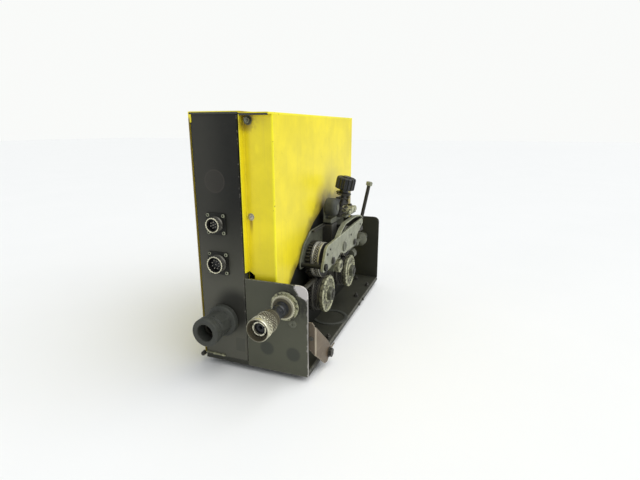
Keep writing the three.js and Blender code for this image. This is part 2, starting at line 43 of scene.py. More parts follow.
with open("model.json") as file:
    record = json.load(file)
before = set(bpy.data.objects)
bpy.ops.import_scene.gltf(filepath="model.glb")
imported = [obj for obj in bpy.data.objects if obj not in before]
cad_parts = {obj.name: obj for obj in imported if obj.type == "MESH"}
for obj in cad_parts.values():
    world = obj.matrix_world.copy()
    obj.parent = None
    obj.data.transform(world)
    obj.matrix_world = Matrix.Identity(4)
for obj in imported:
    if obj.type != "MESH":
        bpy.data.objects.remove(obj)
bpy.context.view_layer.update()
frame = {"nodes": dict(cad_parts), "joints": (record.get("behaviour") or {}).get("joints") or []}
MM = 0.001
TURN = 2 * math.pi
SHEET = 1.5

# The case's own zero is the lower left front corner of the connector panel, 0.4 mm under its sheet.
ZERO = np.array(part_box("front_panel")[0]) / MM - np.array([0.0, 0.0, 0.4])


def low(node):
    """The low corner of a node's box in millimetres from the case's zero."""
    return np.array(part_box(node)[0]) / MM - ZERO


def high(node):
    """The high corner of a node's box in millimetres from the case's zero."""
    return np.array(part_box(node)[1]) / MM - ZERO


def middle(node):
    """The centre of a node's box in millimetres from the case's zero."""
    return (low(node) + high(node)) / 2


def joint(name):
    """A joint of the frame: its point in millimetres from the case's zero, and its axis."""
    found = next(j for j in frame["joints"] if j["name"] == name)
    return np.array(found["pos_m"]) / MM - ZERO, np.array(found["axis"])


PANEL_RIGHT, _, PANEL_TOP = high("front_panel")
HOUSING_LEFT = low("right_housing")[0]
CASE_RIGHT, CASE_BACK, CASE_TOP = high("right_housing")
COVER_LEFT, COVER_TOP = low("left_cover")[0], high("left_cover")[2]
TRAY_RIGHT, TRAY_BACK, _ = high("base_tray")
TRAY_LIP = low("base_tray")[2]
PLATE_LEFT, PLATE_TOP = low("front_plate")[0], high("front_plate")[2]
WIRE_X, _, WIRE_Z = middle("outlet_washer")
LOWER_Z, UPPER_Z = middle("front_lower_shaft")[2], middle("front_upper_axle")[2]
DRIVE_Y = middle("drive_shaft")[1]
ROLL_Y = {"front": middle("front_lower_shaft")[1], "rear": middle("rear_lower_shaft")[1]}
HINGE_Y, HINGE_Z = middle("hinge_pin")[1:]
PLATE_X = (low("drive_plate")[0], high("drive_plate")[0])
GEAR_X = (low("drive_gear")[0], high("drive_gear")[0])
ROLL_X = (low("front_lower_roll")[0], high("front_lower_roll")[0])
CAP_X = (low("front_roll_cap")[0], high("front_roll_cap")[0])
WELD_X, _, WELD_Z = middle("weld_contact")
SOCKETS = {name: middle(name + "_socket_insert") for name in ("upper", "lower")}
KNOB_AT, KNOB_AXIS = joint("knob_turn")
SWING_AT, _ = joint("stud_swing")
LEAN = math.atan2(KNOB_AXIS[0], KNOB_AXIS[2])

# The cut in the drive side of the housing, as (Y, Z) from its foot at the front to its flat top
CUTOUT = [
    (48, 60), (54, 105), (61, 118), (83, 136), (105, 147), (128, 172), (148, 187), (168, 200), (205, 214),
    (227, 223), (250, 226)]

LOUVRES = range(250, 330, 14)
EDGE_ANGLE = 35
CAMERA_AT = (406.89, -548.86, 367.59)
CAMERA_DOWN, CAMERA_TURN = 14.59, 20.24


class FeederSizes(bpy.types.PropertyGroup):
    """Sizes of the unit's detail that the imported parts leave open."""

    edge: bpy.props.FloatProperty(
        name="Sheet edge", description="Rounding of cut sheet edges", default=0.0003, unit="LENGTH")
    fold: bpy.props.FloatProperty(
        name="Fold radius", description="Outer radius where sheet metal is bent", default=0.0026,
        unit="LENGTH")
    knurl: bpy.props.FloatProperty(
        name="Knurl depth", description="Depth of the knurl on rolls and rings", default=0.0006,
        unit="LENGTH")
    thread: bpy.props.FloatProperty(
        name="Thread pitch", description="Pitch of the studs' threads", default=0.0015, unit="LENGTH")
    lens: bpy.props.FloatProperty(
        name="Lens", description="Focal length on 36 mm film", default=24.12, unit="CAMERA")


def colour(name, text, value):
    """A colour a user can change."""
    return bpy.props.FloatVectorProperty(
        name=name, description=text, default=value, subtype="COLOR", size=3, min=0.0, max=1.0)


class FeederColours(bpy.types.PropertyGroup):
    """Base colours of the unit's finishes."""

    yellow: colour("Yellow", "Enamel of the covers", (0.81, 0.675, 0.014))
    black: colour("Black", "Enamel of the connector panel", (0.0085, 0.0090, 0.0070))
    olive: colour("Olive", "Paint of the front plate and tray", (0.074, 0.076, 0.052))
    grey: colour("Cast grey", "Paint of the pressure arm", (0.30, 0.31, 0.22))
    cream: colour("Cream", "Coating of caps, washer and clamp block", (0.60, 0.60, 0.38))
    nickel: colour("Nickel", "Plating of the connectors", (0.86, 0.83, 0.62))
    steel: colour("Steel", "Turned and knurled steel", (0.56, 0.54, 0.46))
    brass: colour("Brass", "Contacts and guides", (0.62, 0.45, 0.18))
    rubber: colour("Rubber", "Feet, roller and weld connector", (0.042, 0.044, 0.037))
    brown: colour("Brown", "Weathered bracket", (0.115, 0.085, 0.053))


# ---------------------------------------------------------------- forms: (points, faces) in millimetres


def merge(*forms):
    """Several forms as one; each keeps its own closed shell."""
    points, faces, start = [], [], 0
    for some, sides in forms:
        points.append(some)
        faces.extend(tuple(start + i for i in side) for side in sides)
        start += len(some)
    return np.concatenate(points), faces


def outward(points, quads, caps=()):
    """The faces of a closed form, all turned round if the volume they enclose comes out negative: each face
    adds its area vector times one of its corners, over three."""
    a, b, c, d = (points[quads[:, k]] for k in range(4))
    volume = (np.cross(c - a, d - b) * (a + b + c + d)).sum() / 8
    for cap in caps:
        rim = points[cap]
        volume += np.cross(rim, np.roll(rim, -1, axis=0)).sum(0) @ rim.mean(0) / 2
    step = 1 if volume > 0 else -1
    return [tuple(face[::step]) for face in quads.tolist() + [cap.tolist() for cap in caps]]


def rings(rows, closed=False):
    """A surface over rows of points: each row is a closed ring, joined to the next by quads. The last row is
    joined to the first if closed; otherwise one face closes each end."""
    count, around = rows.shape[:2]
    index = np.arange(count * around).reshape(count, around)
    below = index if closed else index[:-1]
    above = np.roll(index, -1, axis=0) if closed else index[1:]
    quads = np.stack([below, np.roll(below, -1, axis=1), np.roll(above, -1, axis=1), above], axis=-1)
    points = rows.reshape(-1, 3)
    return points, outward(points, quads.reshape(-1, 4), () if closed else (index[0, ::-1], index[-1]))


ACROSS = {"x": (1, 2), "y": (0, 2), "z": (0, 1)}
ALONG = {"x": 0, "y": 1, "z": 2}


def standing(axis, across, along):
    """Points from their two coordinates across the named axis, in X, Y, Z order, and their place along it."""
    points = np.empty((*np.broadcast(across[..., 0], along).shape, 3))
    points[..., ACROSS[axis]] = across
    points[..., ALONG[axis]] = along
    return points


def revolve(axis, at, profile, sides=64, wave=None):
    """A turned form: each (radius, station) of the profile goes once round the axis at that point. A profile
    that starts and ends with radius 0 gets flat ends, any other closes on itself. wave(angle, station) scales
    the radius."""
    profile = np.asarray(profile, float)
    solid = profile[0, 0] == 0 and profile[-1, 0] == 0
    if solid:
        profile = profile[1:-1]
    angle = np.linspace(0, TURN, sides, endpoint=False)
    radius = np.repeat(profile[:, :1], sides, axis=1)
    station = np.repeat(profile[:, 1:], sides, axis=1)
    if wave is not None:
        radius = radius * wave(np.broadcast_to(angle, radius.shape), station)
    across = np.stack([radius * np.cos(angle), radius * np.sin(angle)], axis=-1) + at
    return rings(standing(axis, across, station), closed=not solid)


def dense(profile, step=0.5):
    """A profile with stations added so that none are further apart than step."""
    profile = np.asarray(profile, float)
    gaps = np.linalg.norm(np.diff(profile, axis=0), axis=1)
    length = np.concatenate([[0], np.cumsum(gaps)])
    places = np.unique(np.concatenate([length, np.arange(0, length[-1], step)]))
    return np.stack([np.interp(places, length, profile[:, k]) for k in (0, 1)], axis=-1)


def looped(profile, step=0.5):
    """A profile that closes on its own first point, which is given once, with stations added as by dense."""
    return dense([*profile, profile[0]], step)[:-1]


def rounded(outline, radius, steps=6):
    """An outline with its corners replaced by arcs: each arc is a quadratic curve from one tangent point to
    the other. radius is one number, or one for each corner; a corner with radius 0 stays sharp."""
    outline = np.asarray(outline, float)
    radius = np.broadcast_to(np.asarray(radius, float), len(outline))
    before = np.roll(outline, 1, axis=0) - outline
    after = np.roll(outline, -1, axis=0) - outline
    reach_in, reach_out = np.linalg.norm(before, axis=1), np.linalg.norm(after, axis=1)
    before, after = before / reach_in[:, None], after / reach_out[:, None]
    half = np.arccos(np.clip((before * after).sum(1), -1, 1)) / 2
    pull = np.minimum(radius / np.maximum(np.tan(half), 1e-6), 0.48 * np.minimum(reach_in, reach_out))
    t = np.linspace(0, 1, steps)[None, :, None]
    first, last = outline + before * pull[:, None], outline + after * pull[:, None]
    curve = (1 - t) ** 2 * first[:, None] + 2 * t * (1 - t) * outline[:, None] + t**2 * last[:, None]
    keep = np.ones((len(outline), steps), bool)
    keep[pull < 1e-9, 1:] = False
    return curve[keep]


def rectangle(across, up, radius, steps=6):
    """A rounded rectangle between two pairs of limits; its corners run from low and low to low and high."""
    (a, b), (c, d) = across, up
    return rounded([(a, c), (b, c), (b, d), (a, d)], radius, steps)


def bent(path, thick, fold):
    """The outline of a sheet bent along a path of corners on its shown side. The other side is the path moved
    to its left by the thickness, mitred at the bends, and both sides are rounded there."""
    path = np.asarray(path, float)
    ahead = np.diff(path, axis=0)
    ahead /= np.linalg.norm(ahead, axis=1)[:, None]
    left = np.stack([-ahead[:, 1], ahead[:, 0]], axis=-1)
    mitre = (left[:-1] + left[1:]) / (1 + (left[:-1] * left[1:]).sum(1))[:, None]
    inner = path + thick * np.concatenate([left[:1], mitre, left[-1:]])
    turn = np.sign(ahead[:-1, 0] * ahead[1:, 1] - ahead[:-1, 1] * ahead[1:, 0])
    wide, tight = fold, max(fold - thick, 0.4)
    shown = [0.0, *np.where(turn > 0, wide, tight), 0.0]
    hidden = [0.0, *np.where(turn > 0, tight, wide), 0.0]
    return rounded(np.concatenate([path, inner[::-1]]), shown + hidden[::-1])


def prism(axis, outline, start, stop):
    """An outline, in the two coordinates across the axis in X, Y, Z order, carried from start to stop."""
    outline = np.asarray(outline, float)
    return rings(standing(axis, outline[None], np.array([[start], [stop]], float)))


def block(x, y, z):
    """A rectangular block between three pairs of limits."""
    return prism("z", [(x[0], y[0]), (x[1], y[0]), (x[1], y[1]), (x[0], y[1])], *z)


def ellipse(centre, radii, sides=24, start=0.0, stop=TURN):
    """Points on an ellipse, or on an arc of one that includes both its ends."""
    angle = np.linspace(start, stop, sides, endpoint=stop - start < TURN)
    return np.stack([centre[0] + radii[0] * np.cos(angle), centre[1] + radii[1] * np.sin(angle)], axis=-1)


def rod(axis, at, radius, start, stop, sides=48):
    """A plain round bar, also used to drill holes."""
    return prism(axis, ellipse(at, (radius, radius), sides), start, stop)


def hexagon(axis, at, flats, start, stop, turn=0.0):
    """A six-sided bar of the given width across its flats, its ends turned down to a cone at the corners."""
    reach, chamfer = flats / math.sqrt(3), 0.07 * flats
    rows = [(0.93, start), (1.0, start + np.sign(stop - start) * chamfer),
            (1.0, stop - np.sign(stop - start) * chamfer), (0.93, stop)]
    six = ellipse((0, 0), (reach, reach), 6, turn, turn + TURN)
    across = np.stack([six * scale for scale, _ in rows]) + at
    return rings(standing(axis, across, np.array([[station] for _, station in rows])))


def swept(path, radius, sides=10):
    """A round wire along a path: at each point a circle stands across the path's direction, its first spoke
    kept level by crossing that direction with Z."""
    path = np.asarray(path, float)
    ahead = np.gradient(path, axis=0)
    ahead /= np.linalg.norm(ahead, axis=1)[:, None]
    spoke = np.cross(ahead, [0.0, 0.0, 1.0])
    spoke /= np.linalg.norm(spoke, axis=1)[:, None]
    other = np.cross(ahead, spoke)
    angle = np.linspace(0, TURN, sides, endpoint=False)[None, :, None]
    return rings(path[:, None] + radius * (np.cos(angle) * spoke[:, None] + np.sin(angle) * other[:, None]))


def leaned(form, pivot):
    """A form made upright on zero, tipped by the studs' lean about Y and moved to its pivot."""
    points, faces = form
    c, s = math.cos(LEAN), math.sin(LEAN)
    x, y, z = points.T
    return np.stack([x * c + z * s, y, z * c - x * s], axis=-1) + pivot, faces


def knurl(count, pitch, depth, spans):
    """A wave of small peaks between crossed helical grooves, for the stations inside the given spans: the
    product of two raised cosines that run round and along in opposite directions."""
    def wave(angle, station):
        one, other = (0.5 + 0.5 * np.cos(count * angle + way * TURN * station / pitch) for way in (1, -1))
        inside = np.zeros_like(station)
        for a, b in spans:
            inside = np.maximum(inside, (station > a) & (station < b))
        return 1 - depth * inside * (1 - one * other)
    return wave


def thread(pitch, depth):
    """A wave that winds round the axis once a pitch: a triangle between the full radius and depth below
    it."""
    def wave(angle, station):
        return 1 - depth * np.abs(np.mod(station / pitch - angle / TURN, 1.0) * 2 - 1)
    return wave


def lobes(count, depth, start=-1e9, stop=1e9):
    """A wave with smooth lobes round the axis between two stations."""
    def wave(angle, station):
        return 1 + depth * np.cos(count * angle) * ((station > start) & (station < stop))
    return wave


def tooth_outline(at, teeth, tip, root, phase):
    """A gear's outline: each tooth is two straight flanks from root to tip, with the gaps between on the
    root."""
    step = TURN / teeth
    half = {"root": 0.30 * step, "mid": 0.235 * step, "tip": 0.13 * step}
    pitch = (tip + root) / 2
    radius = np.array([root, pitch, tip, tip, pitch, root])
    angle = np.array([-half["root"], -half["mid"], -half["tip"], half["tip"], half["mid"], half["root"]])
    angles = (phase + step * np.arange(teeth))[:, None] + angle
    across = np.stack([radius * np.cos(angles), radius * np.sin(angles)], axis=-1)
    return across.reshape(-1, 2) + at


def pan_screw(axis, at, seat, way, radius):
    """A domed screw head standing on its seat, its height 0.6 of its radius, with rings turned in its
    crown."""
    tall = 0.6 * radius * way
    return revolve(axis, at, [
        (0, seat), (radius, seat), (radius, seat + 0.35 * tall), (0.88 * radius, seat + 0.75 * tall),
        (0.6 * radius, seat + tall), (0.32 * radius, seat + tall), (0.26 * radius, seat + 0.55 * tall),
        (0, seat + 0.55 * tall)], 28)


# ---------------------------------------------------------------- pieces


def add_modifier(owner, kind, **settings):
    """A modifier with its settings."""
    modifier = owner.modifiers.new(kind, kind)
    for key, value in settings.items():
        setattr(modifier, key, value)


def plain_object(name, form, finishes=()):
    """An object holding a form, in metres in the frame."""
    mesh = bpy.data.meshes.new(name)
    mesh.from_pydata(((form[0] + ZERO) * MM).tolist(), [], form[1])
    for finish in finishes:
        mesh.materials.append(finish)
    made = bpy.data.objects.new(name, mesh)
    bpy.context.scene.collection.objects.link(made)
    return made


def depth_below(at, axis, tip, root):
    """How far below tip a point lies, as a share of the way to root, by its distance from an axis line."""
    at, axis = np.asarray(at, float), np.asarray(axis, float)
    def share(points):
        distance = np.linalg.norm(np.cross(points - at, axis), axis=-1)
        return np.clip((tip - distance) / (tip - root), 0, 1)
    return share


def piece(name, form, finish, body="case", replaces=(), holes=(), bevel=0.0, folds=(),
        groove=None, sharp=32.0):
    """A finished mesh object from a form: holes are cut, then edges over EDGE_ANGLE are rounded by bevel.
    Faces of those edges, and faces within reach of a fold line (axis, point, reach), carry 1 in the
    attribute "edge". groove(points) gives each vertex its value in the attribute "groove"."""
    material = bpy.data.materials[finish]
    raw = plain_object(name + "_raw", form, [material, material])
    tools = [plain_object(name + "_hole", hole) for hole in holes]
    for tool in tools:
        add_modifier(raw, "BOOLEAN", object=tool, operation="DIFFERENCE", solver="EXACT")
    if bevel:
        add_modifier(raw, "BEVEL", width=bevel * MM, segments=2, limit_method="ANGLE",
                     angle_limit=math.radians(EDGE_ANGLE), material=1, use_clamp_overlap=False)
    mesh = bpy.data.meshes.new_from_object(raw.evaluated_get(bpy.context.evaluated_depsgraph_get()))
    for extra in [raw, *tools]:
        bpy.data.objects.remove(extra)
    marks = np.zeros(len(mesh.polygons), np.int32)
    mesh.polygons.foreach_get("material_index", marks)
    edge = (marks == 1).astype(np.float32)
    centres = np.zeros(len(marks) * 3, np.float32)
    mesh.polygons.foreach_get("center", centres)
    centres = centres.reshape(-1, 3) / MM - ZERO
    for axis, point, reach in folds:
        distance = np.linalg.norm(centres[:, ACROSS[axis]] - np.asarray(point), axis=1)
        edge = np.maximum(edge, distance < reach)
    mesh.attributes.new("edge", "FLOAT", "FACE").data.foreach_set("value", edge.astype(np.float32))
    points = np.zeros(len(mesh.vertices) * 3, np.float32)
    mesh.vertices.foreach_get("co", points)
    points = points.reshape(-1, 3) / MM - ZERO
    depth = groove(points) if groove else np.zeros(len(points))
    mesh.attributes.new("groove", "FLOAT", "POINT").data.foreach_set("value", depth.astype(np.float32))
    mesh.polygons.foreach_set("material_index", np.zeros_like(marks))
    mesh.materials.clear()
    mesh.materials.append(material)
    mesh.polygons.foreach_set("use_smooth", np.ones(len(marks), bool))
    mesh.set_sharp_from_angle(angle=math.radians(sharp))
    mesh.name = name
    made = bpy.data.objects.new(name, mesh)
    add_modifier(made, "WEIGHTED_NORMAL", keep_sharp=True)
    bpy.context.scene.collection.objects.link(made)
    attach(made, body)
    if replaces:
        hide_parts(*replaces)


# ---------------------------------------------------------------- shader groups and finishes


class Nodes:
    """A short way of writing shader nodes in one tree."""

    def __init__(self, tree):
        self.tree = tree

    def feed(self, socket, value):
        """Links a socket to another, or gives it a value."""
        if isinstance(value, bpy.types.NodeSocket):
            self.tree.links.new(value, socket)
        elif socket.type == "RGBA":
            socket.default_value = (*value, 1.0)
        else:
            socket.default_value = value

    def add(self, kind, settings=None, **inputs):
        """A node with its settings, and its inputs fed by name."""
        node = self.tree.nodes.new(kind)
        for key, value in (settings or {}).items():
            setattr(node, key, value)
        for key, value in inputs.items():
            self.feed(node.inputs[key.replace("_", " ")], value)
        return node

    def math(self, operation, a, b=0.0):
        """One arithmetic step on two values."""
        node = self.add("ShaderNodeMath", {"operation": operation})
        self.feed(node.inputs[0], a)
        self.feed(node.inputs[1], b)
        return node.outputs[0]

    def product(self, first, *others):
        """All the values multiplied together."""
        for other in others:
            first = self.math("MULTIPLY", first, other)
        return first

    def either(self, first, *others):
        """The largest of the values."""
        for other in others:
            first = self.math("MAXIMUM", first, other)
        return first

    def ramp(self, value, zero, one):
        """A smooth step: 0 at zero, 1 at one, whichever is larger."""
        node = self.add("ShaderNodeMapRange", {"interpolation_type": "SMOOTHSTEP"})
        ends = (zero, one, 0.0, 1.0) if zero < one else (one, zero, 1.0, 0.0)
        for key, number in zip(("From Min", "From Max", "To Min", "To Max"), ends):
            node.inputs[key].default_value = number
        self.feed(node.inputs["Value"], value)
        return node.outputs["Result"]

    def mix(self, factor, a, b):
        """Colour a at factor 0, colour b at factor 1."""
        node = self.add("ShaderNodeMix", {"data_type": "RGBA"})
        for socket, value in zip((node.inputs[0], node.inputs[6], node.inputs[7]), (factor, a, b)):
            self.feed(socket, value)
        return node.outputs[2]

    def blend(self, factor, a, b):
        """Number a at factor 0, number b at factor 1."""
        node = self.add("ShaderNodeMix", {"data_type": "FLOAT"})
        for socket, value in zip(node.inputs[0:1] + node.inputs[2:4], (factor, a, b)):
            self.feed(socket, value)
        return node.outputs[0]

    def noise(self, vector, scale, detail=4.0, roughness=0.6):
        """The value of a noise texture."""
        return self.add(
            "ShaderNodeTexNoise", Vector=vector, Scale=scale, Detail=detail, Roughness=roughness).outputs[0]

    def stretched(self, vector, scale):
        """A vector scaled by three factors."""
        node = self.add("ShaderNodeMapping", Vector=vector)
        node.inputs["Scale"].default_value = scale
        return node.outputs[0]

    def place(self):
        """Object coordinates in millimetres from the case's zero, as a vector."""
        node = self.add("ShaderNodeMapping", Vector=self.add("ShaderNodeTexCoord").outputs["Object"])
        node.inputs["Scale"].default_value = (1 / MM,) * 3
        node.inputs["Location"].default_value = tuple(-ZERO)
        return node.outputs[0]

    def xyz(self, vector):
        """The three parts of a vector."""
        return self.add("ShaderNodeSeparateXYZ", Vector=vector).outputs[0:3]

    def value(self, attribute):
        """A number stored on the mesh."""
        return self.add("ShaderNodeAttribute", {"attribute_name": attribute}).outputs["Fac"]

    def away(self, place, centre):
        """Distance in millimetres from a point, where a coordinate given as None doesn't count."""
        keep = tuple(0.0 if c is None else 1.0 for c in centre)
        flat = self.stretched(place, keep)
        node = self.add("ShaderNodeVectorMath", {"operation": "DISTANCE"})
        self.feed(node.inputs[0], flat)
        node.inputs[1].default_value = tuple(c or 0.0 for c in centre)
        return node.outputs["Value"]

    def group(self, name, **inputs):
        """The mask of one of the shared groups."""
        node = self.tree.nodes.new("ShaderNodeGroup")
        node.node_tree = bpy.data.node_groups[name]
        for key, value in inputs.items():
            self.feed(node.inputs[key], value)
        return node.outputs[0]


def mask_group(name, inputs, recipe):
    """A shader group with a Place vector and named numbers coming in and one mask going out."""
    tree = bpy.data.node_groups.new(name, "ShaderNodeTree")
    tree.interface.new_socket("Place", in_out="INPUT", socket_type="NodeSocketVector")
    for label, default in inputs.items():
        tree.interface.new_socket(label, in_out="INPUT",
                socket_type="NodeSocketFloat").default_value = default
    tree.interface.new_socket("Mask", in_out="OUTPUT", socket_type="NodeSocketFloat")
    n = Nodes(tree)
    given = n.add("NodeGroupInput").outputs
    n.feed(n.add("NodeGroupOutput").inputs["Mask"], recipe(n, given))


def edge_wear(n, given):
    """Faces marked as edges, where a noise is above a limit that falls as the amount grows."""
    patches = n.noise(given["Place"], given["Scale"], 5.0, 0.72)
    limit = n.math("SUBTRACT", 0.72, n.math("MULTIPLY", given["Amount"], 0.45))
    return n.product(n.value("edge"), n.ramp(n.math("SUBTRACT", patches, limit), 0.0, 0.05))


def blotches(n, given):
    """Soft patches that cover a given share of the surface."""
    broad = n.noise(given["Place"], given["Scale"], 6.0, 0.65)
    limit = n.math("SUBTRACT", 0.68, n.math("MULTIPLY", given["Cover"], 0.36))
    return n.ramp(n.math("SUBTRACT", broad, limit), 0.0, 0.16)


def specks(n, given):
    """Small hard chips: a fine noise above a limit, kept to places where a broad noise is high."""
    fine = n.noise(given["Place"], given["Scale"], 2.0, 0.5)
    broad = n.ramp(n.noise(given["Place"], 0.03, 3.0), 0.42, 0.62)
    limit = n.math("SUBTRACT", 0.80, n.math("MULTIPLY", given["Cover"], 0.25))
    return n.product(n.ramp(n.math("SUBTRACT", fine, limit), 0.0, 0.03), broad)


def scratches(n, given):
    """Three sets of fine lines, each a noise drawn out along its own turned direction."""
    total = 0.0
    for turn, stretch in ((0.4, (0.9, 0.02, 0.5)), (-0.7, (0.03, 0.8, 0.02)), (1.2, (0.5, 0.7, 0.02))):
        node = n.add("ShaderNodeMapping", Vector=given["Place"])
        node.inputs["Rotation"].default_value = (turn, turn * 0.5, -turn)
        node.inputs["Scale"].default_value = stretch
        total = n.either(n.ramp(n.noise(node.outputs[0], 1.3, 2.0, 0.5), 0.70, 0.78), total)
    return n.product(total, given["Cover"])


def settled(n, given):
    """Dust and grease: more on faces that look up, and patchy."""
    up = n.ramp(n.xyz(n.add("ShaderNodeNewGeometry").outputs["Normal"])[2], -0.4, 0.9)
    patchy = n.ramp(n.noise(given["Place"], 0.06, 6.0, 0.7), 0.3, 0.7)
    return n.product(n.math("ADD", n.product(up, 0.65), 0.35), patchy, given["Amount"])


def build_groups():
    """The masks that the finishes share."""
    mask_group("Edge wear", {"Amount": 0.5, "Scale": 0.25}, edge_wear)
    mask_group("Blotches", {"Cover": 0.5, "Scale": 0.02}, blotches)
    mask_group("Specks", {"Cover": 0.3, "Scale": 0.8}, specks)
    mask_group("Scratches", {"Cover": 0.3}, scratches)
    mask_group("Settled dirt", {"Amount": 0.5}, settled)


def finish_of(name, recipe, **constants):
    """A material whose recipe returns what feeds its Principled shader; constants are set on the shader."""
    material = bpy.data.materials.new(name)
    material.use_nodes = True
    n = Nodes(material.node_tree)
    shader = material.node_tree.nodes["Principled BSDF"]
    for key, value in constants.items():
        n.feed(shader.inputs[key.replace("_", " ")], value)
    for key, value in recipe(n).items():
        if key == "Bump":
            height, strength, reach = value
            bump = n.add("ShaderNodeBump", Height=height, Strength=strength, Distance=reach * MM)
            key, value = "Normal", bump.outputs[0]
        n.feed(shader.inputs[key], value)


def shade(value, factor):
    """A colour made darker or lighter."""
    return tuple(min(1.0, c * factor) for c in value)


def worn_paint(base, under, dirt, wear=0.5, chips=0.3, grime=0.4, gloss=(0.35, 0.6), grain=0.6, extra=None,
               rub_and_painted_light=0.5):
    """Paint with uneven colour, scratches, marked edges made paler and chipped down to what is under it, and
    dirt. rub is how far a marked edge goes towards a paler paint: worn edges, and on the bracket a painted
    highlight along its edges and bend. extra(n, place, colour) may change the colour before the chips and
    dirt go on."""
    def recipe(n):
        place = n.place()
        tone = n.noise(place, 0.012, 5.0, 0.6)
        paint = n.mix(n.ramp(tone, 0.3, 0.7), shade(base, 0.90), shade(base, 1.08))
        scored = n.group("Scratches", Place=place, Cover=0.30)
        paint = n.mix(scored, paint, shade(base, 1.25))
        # Marked edges go towards a paler paint: worn edges, and on the bracket a painted highlight.
        paint = n.mix(n.product(n.value("edge"), rub_and_painted_light), paint, shade(base, 1.6))
        if extra:
            paint = extra(n, place, paint)
        bare = n.either(n.group("Edge wear", Place=place, Amount=wear, Scale=0.25),
                        n.group("Specks", Place=place, Cover=chips, Scale=0.5))
        soiled = n.group("Settled dirt", Place=place, Amount=grime)
        paint = n.mix(soiled, n.mix(bare, paint, under), dirt)
        orange_peel = n.noise(place, grain, 3.0, 0.5)
        height = n.math("SUBTRACT", n.math("ADD", n.product(orange_peel, 0.35), n.product(scored, -0.2)),
                bare)
        rough = n.blend(tone, gloss[0], gloss[1])
        return {"Base Color": paint, "Roughness": n.blend(soiled, n.blend(bare, rough, 0.45), 0.75),
                "Metallic": n.product(bare, 0.6), "Bump": (height, 0.35, 0.25)}
    return recipe


def housing_stains(n, place, paint):
    """Darkening that spreads from the cut-out and the bridge, partly grease and partly painted shade where
    the mechanism stands in front of the wall, a greyish patch of painted shade beside the knob, streaks down
    the sides, rust under the screw and in the roof's corner, and a brown front edge on the left cover."""
    x, y, z = n.xyz(place)
    curve = n.add("ShaderNodeFloatCurve")
    mapping = curve.mapping.curves[0]
    span = 420.0
    (foot, _), (_, flat) = CUTOUT[0], CUTOUT[-1]
    spots = [(0.0, 0.0), (foot / span, 0.0), *[(cy / span, cz / span) for cy, cz in CUTOUT],
            (1.0, flat / span)]
    while len(mapping.points) < len(spots):
        mapping.points.new(0.5, 0.5)
    for spot, (across, up) in zip(mapping.points, spots):
        spot.location, spot.handle_type = (across, up), "VECTOR"
    curve.mapping.update()
    n.feed(curve.inputs["Value"], n.math("DIVIDE", y, span))
    above = n.math("SUBTRACT", z, n.math("MULTIPLY", curve.outputs[0], span))
    ragged = n.math("ADD", above, n.math("MULTIPLY", n.math("SUBTRACT", n.noise(place, 0.03, 5.0), 0.5),
            50.0))
    side = n.ramp(x, 126.0, 127.0)
    # Dark along the cut-out's edge, with a fainter halo further out: partly grease, partly painted shade
    # where the mechanism stands close in front of the wall.
    close = n.product(n.ramp(ragged, 30.0, -2.0), side)
    grease_and_shade_halo = n.product(n.ramp(ragged, 75.0, 5.0), side)
    # A brown smear near the top of the cut-out by the bridge: partly grease, partly painted shade of the
    # parts in front of it.
    rub_and_painted_light = n.product(n.ramp(n.away(place, (None, 212.0, 226.0)), 50.0, 12.0), side, 0.55)
    # A greyish patch beside the knob: painted shade of the knob on the wall.
    grey = n.product(n.ramp(n.away(place, (None, 262.0, 262.0)), 70.0, 15.0), side, 0.16)
    paint = n.mix(n.product(grease_and_shade_halo, 0.24), paint, (0.46, 0.36, 0.03))
    paint = n.mix(grey, paint, (0.50, 0.46, 0.20))
    paint = n.mix(rub_and_painted_light, paint, (0.20, 0.13, 0.045))
    paint = n.mix(n.product(close, 0.80), paint, (0.075, 0.050, 0.014))
    streak = n.ramp(n.noise(n.stretched(place, (0.16, 0.16, 0.004)), 1.0, 4.0), 0.50, 0.75)
    paint = n.mix(n.product(streak, 0.18), paint, (0.55, 0.42, 0.05))
    below = n.product(n.ramp(n.away(place, (89.0, 12.0, None)), 4.0, 1.0), n.ramp(z, 205.0, 232.0),
                      n.ramp(z, 244.0, 240.0))
    corner = n.product(n.ramp(n.away(place, (86.0, 12.0, 380.0)), 26.0, 6.0),
            n.ramp(n.noise(place, 0.12, 5.0), 0.3, 0.6))
    cover = n.product(n.ramp(x, 2.0, 0.0), n.ramp(y, 1.5, 0.5), n.ramp(z, 385.0, 380.0), 0.9)
    paint = n.mix(cover, paint, (0.15, 0.095, 0.03))
    return n.mix(n.product(n.either(below, corner), 0.75), paint, (0.20, 0.10, 0.02))


def panel_marks(n, place, paint):
    """The panel's paint goes from black at the top to olive grey at the foot, with a round and a square
    ghost, and a painted shadow of the weld connector above and to its right."""
    x, y, z = n.xyz(place)
    on_panel = n.product(n.ramp(x, 80.5, 79.5), n.ramp(y, 16.0, 14.0))
    pale = n.product(n.ramp(z, 270.0, 90.0), on_panel)
    left = n.product(n.ramp(x, 70.0, 10.0), n.ramp(z, 40.0, 90.0), on_panel)
    paint = n.mix(n.product(pale, 0.85), paint, (0.104, 0.103, 0.080))
    paint = n.mix(n.product(left, 0.22), paint, (0.12, 0.115, 0.095))
    # Painted shadow of the weld connector: dark above and to its right on the panel.
    connector_shadow = n.product(n.ramp(n.away(place, (60.0, None, 88.0)), 44.0, 20.0), on_panel)
    paint = n.mix(n.product(connector_shadow, 0.85), paint, (0.012, 0.012, 0.010))
    ring = n.away(place, (36.0, None, 291.0))
    ghost = n.product(n.ramp(ring, 14.5, 16.5), n.ramp(ring, 18.5, 16.5), on_panel)
    disc = n.product(n.ramp(ring, 17.0, 14.0), on_panel, 0.25)
    paint = n.mix(n.either(n.product(ghost, 0.55), disc), paint, (0.058, 0.050, 0.043))
    square = n.product(n.ramp(n.away(place, (67.0, None, None)), 9.0, 8.0),
                       n.ramp(n.away(place, (None, None, 27.0)), 12.0, 11.0), on_panel)
    return n.mix(n.product(square, 0.35), paint, (0.045, 0.046, 0.038))


